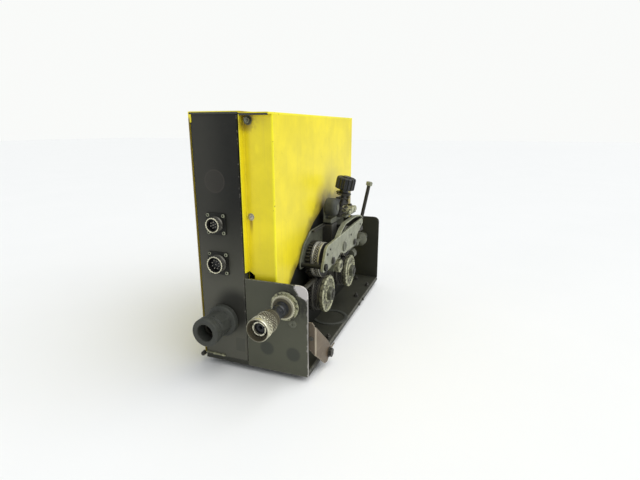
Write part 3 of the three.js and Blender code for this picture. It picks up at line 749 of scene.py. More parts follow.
def plate_marks(n, place, paint):
    """Scuffed top right corner and bare edge of the front plate, and two round smudges near its foot."""
    x, y, _ = n.xyz(place)
    front = n.ramp(y, 6.0, 4.0)
    scuff = n.ramp(n.away(place, (170.0, None, 122.0)), 44.0, 18.0)
    rough = n.ramp(n.noise(place, 0.12, 6.0, 0.75), 0.36, 0.54)
    paint = n.mix(n.product(scuff, rough, front, 0.85), paint, (0.022, 0.022, 0.018))
    for across, up in ((115.0, 30.0), (160.0, 27.0)):
        spot = n.ramp(n.away(place, (across, None, up)), 14.0, 9.0)
        paint = n.mix(n.product(spot, front, 0.62), paint, (0.024, 0.028, 0.024))
    from_corner = n.math("SUBTRACT", n.away(place, (TRAY_RIGHT, None, PLATE_TOP)),
                         n.math("MULTIPLY", n.noise(place, 0.25, 5.0), 14.0))
    from_edge = n.math("SUBTRACT", n.math("SUBTRACT", TRAY_RIGHT, x),
                       n.math("MULTIPLY", n.ramp(n.noise(place, 0.09, 5.0), 0.50, 0.85), 5.0))
    bare = n.product(n.either(n.ramp(from_corner, 16.0, 12.5), n.product(n.ramp(from_edge, 1.0, 0.4), 0.45)),
            front)
    return n.mix(bare, paint, (0.60, 0.57, 0.55))


def bracket_marks(n, place, paint):
    """Long scratches across the bracket's side, painted shade darkening the front leg, and rust round the
    bolt.
    """
    x = n.xyz(place)[0]
    scored = n.ramp(n.noise(n.stretched(place, (0.2, 0.05, 0.9)), 1.0, 4.0, 0.6), 0.58, 0.66)
    paint = n.mix(n.product(scored, 0.5), paint, (0.26, 0.21, 0.15))
    # Painted shade: the front leg, turned away from the light, is made darker than the side leg.
    paint = n.mix(n.product(n.ramp(x, 196.0, 193.0), 0.45), paint, (0.05, 0.04, 0.026))
    rust = n.product(n.ramp(n.away(place, (None, 65.0, 5.0)), 24.0, 8.0), n.noise(place, 0.3, 5.0))
    return n.mix(n.product(rust, 0.8), paint, (0.060, 0.032, 0.016))


def worn_metal(base, dirt, rough=(0.28, 0.5), grime=0.4, groove_dirt=0.9, metallic=1.0, spots=0.0,
        spot=(0, 0, 0)):
    """Metal with uneven polish, dirt in its grooves, brighter rubbed edges, and stains. spots is the share
    of it under patches of the colour spot."""
    def recipe(n):
        place = n.place()
        tone = n.noise(place, 0.09, 5.0, 0.65)
        metal = n.mix(n.ramp(tone, 0.3, 0.7), shade(base, 0.72), base)
        rubbed = n.group("Edge wear", Place=place, Amount=0.8, Scale=0.4)
        metal = n.mix(rubbed, metal, shade(base, 1.5))
        stained = n.either(n.group("Settled dirt", Place=place, Amount=grime),
                           n.product(n.group("Blotches", Place=place, Cover=0.45, Scale=0.07), grime))
        sunk = n.product(n.value("groove"), groove_dirt)
        soiled = n.either(stained, sunk)
        marked = n.product(n.group("Blotches", Place=place, Cover=spots, Scale=0.22), 1.0 if spots else 0.0)
        metal = n.mix(marked, n.mix(soiled, metal, dirt), spot)
        scored = n.group("Scratches", Place=place, Cover=0.5)
        height = n.math("SUBTRACT", n.product(n.noise(place, 1.4, 3.0), 0.5), n.product(scored, 0.6))
        off = n.either(soiled, marked)
        return {"Base Color": metal, "Roughness": n.blend(off, n.blend(tone, rough[0], rough[1]), 0.72),
                "Metallic": n.product(n.math("SUBTRACT", 1.0, n.product(off, 0.8)), metallic),
                "Bump": (height, 0.25, 0.2)}
    return recipe


def soft_black(base, bloom, grime, rough=(0.5, 0.75)):
    """Rubber or moulded plastic: a fine grain, grey bloom in patches and on edges, and settled dust."""
    def recipe(n):
        place = n.place()
        patches = n.group("Blotches", Place=place, Cover=0.5, Scale=0.045)
        soft = n.mix(n.product(patches, 0.6), base, bloom)
        soft = n.mix(n.product(n.value("edge"), 0.5), soft, shade(bloom, 1.3))
        dust = n.group("Settled dirt", Place=place, Amount=grime)
        soft = n.mix(dust, soft, shade(bloom, 1.6))
        return {"Base Color": soft, "Roughness": n.blend(patches, rough[0], rough[1]),
                "Bump": (n.noise(place, 1.2, 3.0), 0.3, 0.2)}
    return recipe


def board_pattern(n):
    """Green board with lighter tracks: bands of a wave pattern broken by noise."""
    place = n.place()
    tracks = n.ramp(n.noise(n.stretched(place, (1.0, 0.05, 0.4)), 1.0, 2.0), 0.52, 0.55)
    return {"Base Color": n.mix(tracks, (0.02, 0.10, 0.035), (0.05, 0.20, 0.07)),
            "Roughness": n.blend(tracks, 0.4, 0.6), "Bump": (tracks, 0.3, 0.1)}


def build_finishes(hues):
    """Every material of the unit."""
    yellow, black, olive = tuple(hues.yellow), tuple(hues.black), tuple(hues.olive)
    grease, dust, steel = (0.020, 0.018, 0.011), (0.085, 0.082, 0.062), tuple(hues.steel)
    rubber = tuple(hues.rubber)
    finish_of("yellow_enamel", worn_paint(
        yellow, (0.20, 0.13, 0.04), (0.40, 0.32, 0.08), 0.24, 0.30, 0.05, (0.30, 0.44),
        0.5, housing_stains, 0.35), Specular_IOR_Level=0.35)
    finish_of("black_enamel", worn_paint(
        black, (0.14, 0.13, 0.11), dust, 0.35, 0.16, 0.10, (0.42, 0.58), 0.7, panel_marks),
        Specular_IOR_Level=0.2)
    finish_of("flange_black", worn_paint(
        shade(black, 0.9), (0.12, 0.11, 0.09), dust, 0.20, 0.20, 0.15, (0.45, 0.6), 0.9),
        Specular_IOR_Level=0.25)
    finish_of("olive_enamel", worn_paint(
        olive, (0.36, 0.35, 0.31), dust, 0.55, 0.25, 0.12, (0.45, 0.62), 0.7, plate_marks),
        Specular_IOR_Level=0.3)
    finish_of("tray_olive", worn_paint(
        shade(olive, 0.36), (0.16, 0.155, 0.13), shade(dust, 0.5), 0.70, 0.25, 0.35, (0.40, 0.62), 0.7),
        Specular_IOR_Level=0.3)
    # The bracket's edges and bend go far towards a paler brown: a painted highlight on top of worn edges.
    finish_of("brown_steel", worn_paint(
        tuple(hues.brown), (0.40, 0.35, 0.27), (0.06, 0.045, 0.03), 0.80, 0.45, 0.45, (0.35, 0.62),
        0.9, bracket_marks, 0.9), Specular_IOR_Level=0.35)
    finish_of("cast_grey", worn_metal(
        tuple(hues.grey), (0.060, 0.058, 0.040), (0.36, 0.55), 0.55, 0.8, 0.30, 0.26, (0.05, 0.05, 0.032)))
    finish_of("cheek_olive", worn_metal(
        shade(tuple(hues.grey), 0.50), grease, (0.38, 0.55), 0.60, 0.8, 0.30, 0.26, (0.03, 0.03, 0.02)))
    finish_of("cream_coat", worn_metal(
        shade(tuple(hues.cream), 0.82), (0.085, 0.080, 0.048), (0.34, 0.5), 0.55, 0.95, 0.25, 0.62,
        (0.030, 0.029, 0.019)))
    finish_of("tarnished_nickel", worn_metal(
        tuple(hues.nickel), (0.055, 0.046, 0.024), (0.22, 0.40), 0.42, 0.97, 0.92, 0.30, (0.07, 0.06, 0.028)))
    finish_of("turned_steel", worn_metal(steel, (0.05, 0.046, 0.035), (0.26, 0.44), 0.5))
    finish_of("knurled_steel", worn_metal(shade(steel, 1.1), (0.012, 0.011, 0.008), (0.28, 0.44),
            0.22, 1.0, 0.75))
    finish_of("dull_knurl", worn_metal(shade(steel, 0.34), (0.010, 0.009, 0.008), (0.30, 0.46),
            0.30, 1.0, 0.75))
    finish_of("oiled_steel", worn_metal(
        shade(steel, 0.11), grease, (0.34, 0.5), 0.6, 0.8, 0.6, 0.16, (0.20, 0.19, 0.13)))
    finish_of("dull_brass", worn_metal(tuple(hues.brass), (0.09, 0.065, 0.03), (0.3, 0.5), 0.4))
    finish_of("dark_contact", worn_metal(
        (0.085, 0.080, 0.060), grease, (0.25, 0.45), 0.5, 0.8, 0.8, 0.2, (0.30, 0.29, 0.24)))
    finish_of("moulded_black", soft_black((0.014, 0.015, 0.016), (0.036, 0.038, 0.044), 0.20, (0.32, 0.5)),
              Specular_IOR_Level=0.4)
    finish_of("aged_rubber", soft_black(rubber, shade(rubber, 1.6), 0.25), Specular_IOR_Level=0.25)
    finish_of("board_green", board_pattern)
    finish_of("studio_floor", lambda n: {
        "Base Color": n.mix(n.noise(n.place(), 0.004, 3.0), (0.86, 0.865, 0.855), (0.89, 0.89, 0.88)),
        "Roughness": n.blend(n.noise(n.place(), 0.05, 3.0), 0.55, 0.7)})


# ---------------------------------------------------------------- the unit's pieces


def build_case(sizes):
    """Connector panel, rear panel, left cover and drive housing, each a bent sheet cut to its holes."""
    fold, edge = sizes.fold / MM, sizes.edge / MM
    holes = [rod("y", (at[0], at[2]), radius, -1, 3) for at, radius in zip(SOCKETS.values(), (10.5, 12.5))]
    holes.append(rod("y", (WELD_X, WELD_Z), 15.5, -1, 3))
    panel = bent([(0, 14), (0, 0), (PANEL_RIGHT, 0), (PANEL_RIGHT, 14)], SHEET, fold)
    piece("connector_panel", prism("z", panel, 0.4, PANEL_TOP), "black_enamel", replaces=["front_panel"],
          holes=holes, bevel=edge, folds=[("z", (0, 0), 1.4), ("z", (PANEL_RIGHT, 0), 1.4)])

    back = bent([(PANEL_RIGHT, CASE_BACK - 14), (PANEL_RIGHT, CASE_BACK), (0, CASE_BACK),
                (0, CASE_BACK - 14)], SHEET, fold)
    louvres = [prism("y", rectangle((20, 60), (z, z + 4), 1.9), CASE_BACK - 4, CASE_BACK + 2)
               for z in LOUVRES]
    gland, gas = middle("cable_gland"), middle("gas_valve")
    vents = [rod("y", (gland[0], gland[2]), 14.4, CASE_BACK - 4, CASE_BACK + 2),
             rod("y", (gas[0], 150.0), 6.4, CASE_BACK - 4, CASE_BACK + 2)]
    piece("rear_vent_panel", prism("z", back, 0.4, PANEL_TOP), "black_enamel", replaces=["rear_panel"],
          holes=louvres + vents, bevel=edge, folds=[("z", (0, CASE_BACK), 1.4),
          ("z", (PANEL_RIGHT, CASE_BACK), 1.4)])
    hood = np.array([(0, 5.2), (1.6, 4.9), (3.2, 3.6), (4.2, 1.4), (4.4, -0.4), (3.6, -0.4), (3.3, 1.2),
                     (2.5, 2.9), (1.2, 4.0), (0, 4.2)])
    hoods = [prism("x", hood + (CASE_BACK, z + 1.0), 19, 61) for z in LOUVRES]
    piece("vent_hoods", merge(*hoods), "black_enamel", bevel=0.2)

    cover = bent([(PANEL_RIGHT + 3, COVER_TOP), (COVER_LEFT, COVER_TOP), (COVER_LEFT, 0.4)], SHEET, fold)
    deep = (low("left_cover")[1], high("left_cover")[1])
    lip = block((COVER_LEFT + 0.2, 3), (deep[0] - 0.3, -0.2), (CASE_TOP - 14, COVER_TOP - 0.4))
    piece("side_cover", merge(prism("y", cover, *deep), lip), "yellow_enamel", replaces=["left_cover"],
          bevel=edge, folds=[("y", (COVER_LEFT, COVER_TOP), 2.2)])
    # Painted shade: thin dark rubber-finished blocks under the front edges of the cover's and the housing's
    # roofs stand for the shade under those edges.
    roof_shadow_blocks = merge(block((COVER_LEFT + 1.6, PANEL_RIGHT + 2.4), (deep[0] - 0.5, deep[0] + 0.8),
                       (COVER_TOP - 4.0, COVER_TOP - SHEET)),
                 block((PANEL_RIGHT + 2.4, CASE_RIGHT - 1.6), (0.5, 2.0),
                 (CASE_TOP - 4.4, CASE_TOP - SHEET - 0.1)))
    piece("roof_shadow_strip", roof_shadow_blocks, "aged_rubber", bevel=0.2)

    left, front = HOUSING_LEFT + SHEET, 12.0
    shown = [(left, 0.4), (left, front), (CASE_RIGHT, front), (CASE_RIGHT, CASE_BACK),
            (HOUSING_LEFT, CASE_BACK)]
    seam = CASE_TOP - 3.0
    opening = rounded([(48, -5), *CUTOUT, (394, 226), (394, -5)], [0, *[5.0] * len(CUTOUT), 5.0, 0])
    cuts = [prism("x", opening, 110, 140),
            block((HOUSING_LEFT - 1, left + 0.2), (-1, front - 0.1), (-1, PLATE_TOP + 9)),
            prism("y", [(left - 1, PLATE_TOP - 4), (left + 9, PLATE_TOP - 4), (left + 9, PLATE_TOP + 3),
                        (left - 1, PLATE_TOP + 10)], front - 1, 20)]
    corner = ("z", (CASE_RIGHT, front), 2.4)
    piece("drive_housing", prism("z", bent(shown, SHEET, fold), 0.4, seam), "yellow_enamel",
          replaces=["right_housing"], holes=cuts, bevel=edge, folds=[corner, ("z", (left, 0.4), 1.2)])
    roof = bent([(CASE_RIGHT, seam), (CASE_RIGHT, CASE_TOP), (HOUSING_LEFT, CASE_TOP)], SHEET, fold)
    piece("housing_roof", prism("y", roof, 0, CASE_BACK), "yellow_enamel", bevel=edge,
          folds=[("y", (CASE_RIGHT, CASE_TOP), 2.4)])

    piece("recess_screw", merge(pan_screw("y", (89, 238), 11.9, -1, 4.6), rod("y", (89, 238),
            5.6, 11.4, 11.95, 32)), "turned_steel", bevel=0.15)
    latch = merge(hexagon("y", (90, 379), 9, 11.9, 6.5, 0.3), rod("y", (90, 379), 6.8, 11.2, 12.0, 32),
                  rod("y", (90, 379), 2.4, 4.8, 7.0, 20))
    piece("recess_nut", latch, "cheek_olive", bevel=0.2)
    rear = [pan_screw("y", (x, z), CASE_BACK + 0.1, 1, 3.6) for x in (8, 71, 88, 120) for z in (24, 372)]
    side = [pan_screw("x", (y, z), COVER_LEFT + 0.1, -1, 3.6) for y in (24, 207, 390) for z in (16, 376)]
    piece("cover_screws", merge(*rear, *side), "turned_steel", bevel=0.15)


def build_tray(sizes):
    """Base tray, end plates, feet and the small hardware on them."""
    edge = sizes.edge / MM
    floor = bent([(0, TRAY_LIP), (0, 0), (TRAY_RIGHT, 0), (TRAY_RIGHT, TRAY_LIP)], -2.0, 2.6)
    notch = block((PLATE_LEFT - 0.4, TRAY_RIGHT + 1), (-1, 3.4), (TRAY_LIP - 1, 1))
    tray = merge(prism("y", floor, 0.4, TRAY_BACK), block((1, TRAY_RIGHT - 1),
                                                          (TRAY_BACK - 1.5, TRAY_BACK - 0.05),
                 (TRAY_LIP, -1)), block((1, PLATE_LEFT - 0.5), (0.45, 1.9), (TRAY_LIP, -1)))
    piece("tray", tray, "tray_olive", replaces=["base_tray"], holes=[notch], bevel=edge,
          folds=[("y", (TRAY_RIGHT, 0), 2.6), ("y", (0, 0), 2.2)])

    outline = rectangle((PLATE_LEFT, TRAY_RIGHT), (TRAY_LIP, PLATE_TOP), [1.0, 1.0, 15.0, 1.0], 8)
    piece("outlet_plate", prism("y", outline, 0, 3), "olive_enamel", replaces=["front_plate"],
          holes=[rod("y", (WIRE_X, WIRE_Z), 11.6, -1, 4)], bevel=0.5)
    back = rectangle((PLATE_LEFT, TRAY_RIGHT), (0.4, high("rear_plate")[2]), [0.5, 0.5, 14, 14], 10)
    piece("inlet_plate", prism("y", back, TRAY_BACK - 3, TRAY_BACK), "tray_olive", replaces=["rear_plate"],
          holes=[rod("y", (WIRE_X, WIRE_Z), 8.4, TRAY_BACK - 4, TRAY_BACK + 1)], bevel=0.5)

    for name in ("front_left", "front_right", "rear_left", "rear_right"):
        at, base, top = middle(name + "_foot"), low(name + "_foot")[2], high(name + "_foot")[2]
        foot = revolve("z", at[:2], [
            (0, base), (5.5, base), (5.8, base + 0.9), (7.4, base + 0.9), (7.6, base), (8.4, base + 0.2),
            (9, base + 2), (8.8, base + 6), (8.2, top - 2), (8.2, top - 0.6), (7.6, top), (0, top)], 48)
        piece(name + "_rubber_foot", foot, "aged_rubber", replaces=[name + "_foot"], bevel=0.2)

    bead = np.linspace(1.5, 37, 90)
    size = 1.5 + 0.55 * np.abs(np.sin(bead * 1.15)) + 0.25 * np.sin(bead * 0.43)
    angle = np.linspace(0, TURN, 14, endpoint=False)
    across = np.stack([size[:, None] * np.cos(angle) - 1.4, 0.9 * size[:, None] * np.sin(angle) + 2.6],
            axis=-1)
    piece("earth_strip", rings(standing("x", across, bead[:, None])), "cream_coat")
    stud = revolve("y", (-3.6, 0.2), [
        (0, -8.6), (2.0, -8.2), (3.4, -6.6), (3.9, -4.6), (3.2, -2.6), (2.0, -1.6), (2.0, 6), (0, 6)], 24)
    piece("earth_stud", merge(stud, hexagon("y", (-3.6, 0.2), 7.4, -1.6, 1.2)), "oiled_steel", bevel=0.2)

    screw = revolve("y", (160, 79), [
        (0, -0.1), (6.6, -0.1), (6.4, -0.8), (4.2, -1.9), (2.1, -2.1), (1.8, -0.9), (0, -0.9)], 36)
    piece("plate_screw", screw, "cheek_olive", bevel=0.15)
    hardware = []
    for x, y in ((170, 330), (176, 405), (140, 440), (96, 440), (96, 60), (176, 120)):
        hardware += [hexagon("z", (x, y), 8, 1.0, 5.2, x * 0.1), rod("z", (x, y), 6.2, -0.1, 1.1, 32),
                     revolve("z", (x, y), [(0, 5), (2.2, 5), (2.2, 8.0), (1.6, 8.6), (0, 8.6)], 20)]
    piece("tray_bolts", merge(*hardware), "oiled_steel", bevel=0.25)
    rims = [hexagon("x", (y, -4), 6.5, TRAY_RIGHT - 0.1, TRAY_RIGHT + 2.6) for y in (300, 330)]
    piece("rim_bolts", merge(*rims), "oiled_steel", bevel=0.25)
    seat = revolve("z", (150, 205), [(29, -0.1), (36, -0.1), (36, 1.4), (35, 2.0), (31, 2.0), (30, 1.2),
            (29, 1.2)], 80)
    piece("tray_grommet", seat, "aged_rubber")


def socket_rivets(at, pitch):
    """Four tubular rivets at the corners of a socket's flange."""
    ring = [(1.3, -2.4), (2.9, -2.4), (2.9, -3.2), (2.3, -3.9), (1.7, -3.9), (1.3, -3.4)]
    return [revolve("y", (at[0] + i * pitch / 2, at[2] + k * pitch / 2), ring, 28) for i in (-1,
            1) for k in (-1, 1)]


def build_sockets():
    """The two round multi-pin sockets: square flange, ribbed barrel, insert, pins and rivets."""
    for name, pitch, shell, pins in (("upper", 27, 11.5, 6), ("lower", 29.5, 13.5, 8)):
        at = SOCKETS[name]
        x, z = at[0], at[2]
        half = pitch / 2 + 3.5
        flange = prism("y", rectangle((x - half, x + half), (z - half, z + half), 3.4), -2.4, -0.4)
        piece(name + "_socket_flange", flange, "flange_black", holes=[rod("y", (x, z),
                shell - 2.4, -4, 2)], bevel=0.35)
        inner = shell - 2.2
        profile = looped([
            (inner, -12.6), (shell - 0.4, -12.6), (shell, -12.2), (shell, -9.4), (shell - 1.0, -9.0),
            (shell - 1.0, -6.6), (shell - 0.3, -6.2), (shell - 0.3, -4.6), (shell + 0.6, -3.4),
            (shell + 0.9, -2.4), (shell - 1.4, -2.4), (shell - 1.4, 12), (inner, 12)], 1.0)
        barrel = revolve("y", (x, z), profile, 96, lobes(20, 0.035, -12.7, -9.2))
        key = block((x + shell - 1, x + shell + 2.4), (-8.6, -4.4), (z - 1.6, z + 1.6))
        piece(name + "_socket_barrel", merge(barrel, key), "dull_knurl",
              replaces=[name + "_socket_shell"], groove=depth_below(at, (0, 1, 0), shell, shell - 1.6))
        lip = revolve("y", (x, z), [(shell - 1.5, -12.3), (shell - 0.1, -12.3), (shell + 0.1, -13.0),
                                    (shell - 0.4, -13.4), (shell - 1.2, -13.4), (shell - 1.5, -13.0)], 120,
                      lobes(20, 0.03))
        piece(name + "_socket_lip", lip, "tarnished_nickel")
        insert = revolve("y", (x, z), [
            (0, -5), (shell - 6.0, -5), (shell - 5.6, -5.6), (shell - 4.4, -5.6), (shell - 4.0, -5.0),
            (shell - 2.5, -5), (shell - 2.5, 10), (shell - 4, 14), (0, 14)], 64)
        ring = ellipse((x, z), ((shell - 7.0),) * 2, pins, 0.4, 0.4 + TURN)
        sockets = [rod("y", spot, 1.7, -6.2, -4, 20) for spot in [*ring, (x, z)]]
        piece(name + "_socket_core", merge(insert, *sockets), "moulded_black",
              replaces=[name + "_socket_insert"], bevel=0.15)
        bars = [revolve("y", spot, [(0, -4.5), (0.95, -4.5), (0.95, -9.2), (0.6, -9.9), (0, -9.9)], 16)
                for spot in [*ring, (x, z)]]
        piece(name + "_socket_pins", merge(*bars), "turned_steel")
        piece(name + "_socket_rivets", merge(*socket_rivets(at, pitch)), "cast_grey")


def build_weld_connector():
    """The rubber weld-current connector with its grooved nose, eight-sided collar and contact ring."""
    def flats(angle, station):
        """Between two stations, the radius of an eight-sided bar by angle: the cosine of half a side's angle
        over the cosine of the angle from that side's middle."""
        step = TURN / 8
        side = np.cos(step / 2) / np.cos(np.mod(angle + 0.2, step) - step / 2)
        return np.where((station > -33.5) & (station < -12.5), side * 1.045, 1.0)
    profile = dense([
        (13.5, -14), (13.5, -53.6), (14.6, -55), (20.4, -55), (22.0, -54.2), (22.5, -52.8), (22.5, -47.5),
        (21.6, -46.8), (21.6, -45.6), (22.5, -44.9), (22.5, -41.6), (21.4, -40.0), (18.2, -39.4),
        (17.9, -36.4), (18.6, -34.6), (20.0, -33.4), (20.2, -12.6), (21.2, -12.0), (24.6, -10.2), (26, -8.6),
        (26, -1.2), (25.2, -0.4), (15, -0.4), (15, 14), (6.4, 14), (6.4, -14)], 1.1)[:-1]
    piece("weld_connector", revolve("y", (WELD_X, WELD_Z), profile, 112, flats), "aged_rubber",
          replaces=["weld_socket"], sharp=38)
    contact = revolve("y", (WELD_X, WELD_Z), [
        (9.2, -14.4), (12.9, -14.4), (12.9, -35.0), (12.3, -36.0), (10.0, -36.0), (9.2, -34.8)], 72)
    core = revolve("y", (WELD_X, WELD_Z), [
        (0, -22.5), (3.0, -22.5), (4.2, -21.5), (8.4, -21.5), (8.4, -14.4), (6, -14.4), (6, 32), (0, 32)], 48)
    slit = block((WELD_X + 3, WELD_X + 9), (-37, -24), (WELD_Z + 6, WELD_Z + 16))
    piece("weld_contact_ring", merge(contact, core), "dark_contact", replaces=["weld_contact"], holes=[slit],
            bevel=0.2)


def build_outlet(sizes):
    """Wire outlet: washer, ribbed nut, neck, and the coupling with its knurled ring and keyed insert."""
    at, line, depth = (WIRE_X, WIRE_Z), (0, 1, 0), sizes.knurl / MM
    centre = (WIRE_X, 0, WIRE_Z)
    washer = revolve("y", at, [(11.4, -0.4), (22.4, -0.4), (23, -1.0), (23, -3.0), (22.2, -3.6), (20.4, -3.7),
                               (19.6, -3.3), (11.4, -3.3)], 96)
    piece("outlet_dish", washer, "cream_coat", replaces=["outlet_washer"])
    nut = looped([(11.3, -3.6), (18.4, -3.6), (19.2, -4.2), (19.2, -7.8), (18.2, -8.6), (16.6, -9.0),
                 (15.8, -10.6), (13.4, -11.0), (13.0, -11.4), (11.3, -11.4)], 0.6)
    piece("outlet_ring_nut", revolve("y", at, nut, 240, lobes(36, 0.030, -8.2, -3.9)), "tarnished_nickel",
          replaces=["outlet_nut"], groove=depth_below(centre, line, 19.6, 15.4))
    neck = looped([
        (4.7, -49.2), (9.6, -49.2), (10, -48.8), (10, -38), (9.4, -37.4), (9.4, -31), (10, -30.4), (10, -25),
        (11, -22.6), (11, -14.5), (10.2, -14), (10.2, -11.8), (11, -11.3), (11, 15.4), (10.4, 16),
        (4.7, 16)], 1.5)
    piece("outlet_tube", revolve("y", at, neck, 72), "moulded_black", replaces=["outlet_neck"])
    ring = looped([
        (10.5, -50), (11.9, -50), (11.9, -79.4), (14.4, -80.2), (14.7, -88.4), (15.0, -89), (15.7, -89),
        (16.4, -88.4), (16.8, -87.2), (16.8, -84.6), (16.0, -84.0), (16.0, -82.8), (16.8, -82.2),
        (16.8, -76.6), (16.3, -76.1), (15.5, -75.4), (15.5, -74.2), (16.2, -73.6), (16.2, -60.8),
        (15.5, -60.2), (15.3, -58.6), (14.2, -58.2), (14.2, -57.0), (15.0, -56.4), (15.0, -54.6), (13.2, -54),
        (13.2, -51.4), (13.9, -51), (13.9, -47.4), (13.2, -46), (10.5, -46)], 0.45)
    wave = knurl(20, 4.8, 2.0 * depth / 16, [(-82.0, -76.8), (-73.4, -61.0)])
    piece("coupling_sleeve", revolve("y", at, ring, 240, wave), "tarnished_nickel", body="coupling",
          replaces=["coupling_ring"], groove=depth_below(centre, line, 16.6, 15.5))

    keyed = dense([(8.4, -80), (8.6, -83.0), (10.2, -83.0), (10.3, -82.4), (10.3, -79.5), (8.4, -79.5)], 0.8)
    rim = revolve("y", at, np.concatenate([keyed, [(8.4, -79.7)]]), 144)
    gaps = []
    for turn in np.arange(6) * TURN / 6 + 0.5:
        out = np.array([math.cos(turn), math.sin(turn)])
        side = np.array([-out[1], out[0]]) * 0.9
        corners = [out * 7 + side, out * 12.5 + side, out * 12.5 - side, out * 7 - side]
        gaps.append(prism("y", np.array(corners) + at, -86, -81.6))
    piece("coupling_keys", rim, "tarnished_nickel", replaces=["coupling_insert"], holes=gaps, bevel=0.15,
          groove=lambda points: 0.35 * (points[:, 1] > -82.6))
    core = revolve("y", at, [
        (2.3, -50), (2.3, -78.0), (3.6, -79.4), (4.8, -79.4), (5.2, -77.8), (7.5, -77.6), (10.9, -77.4),
        (10.9, -50)], 72)
    piece("coupling_core", core, "moulded_black")


def build_gears():
    """The drive gear and the four roll gears, each a toothed disc with a thicker hub and a turned recess."""
    start, stop = GEAR_X
    half = TURN / 64
    for name, body, y, z, teeth, phase in (
            ("drive", "drive", DRIVE_Y, LOWER_Z, 38, 0.0),
            ("front_lower", "front_lower", ROLL_Y["front"], LOWER_Z, 32, half),
            ("rear_lower", "rear_lower", ROLL_Y["rear"], LOWER_Z, 32, half),
            ("front_upper", "front_upper", ROLL_Y["front"], UPPER_Z, 32, 0.0),
            ("rear_upper", "rear_upper", ROLL_Y["rear"], UPPER_Z, 32, 0.0)):
        tip, root = teeth + 1.6, teeth - 2.3
        blank = prism("x", tooth_outline((y, z), teeth, tip, root, phase), start, stop)
        recess = revolve("x", (y, z), [(14, stop + 1), (14, stop - 1.0), (15, stop - 1.6),
                                       (root - 6, stop - 1.6), (root - 5, stop - 1.0),
                                       (root - 5, stop + 1)], 64)
        bore = rod("x", (y, z), 5.6 if "upper" in name else 8.4 if name == "drive" else 6.4, start - 1,
                stop + 1)
        piece(name + "_spur_gear", blank, "oiled_steel", body=body, replaces=[name + "_gear"],
              holes=[recess, bore], bevel=0.3, groove=depth_below((0, y, z), (1, 0, 0), tip, root))


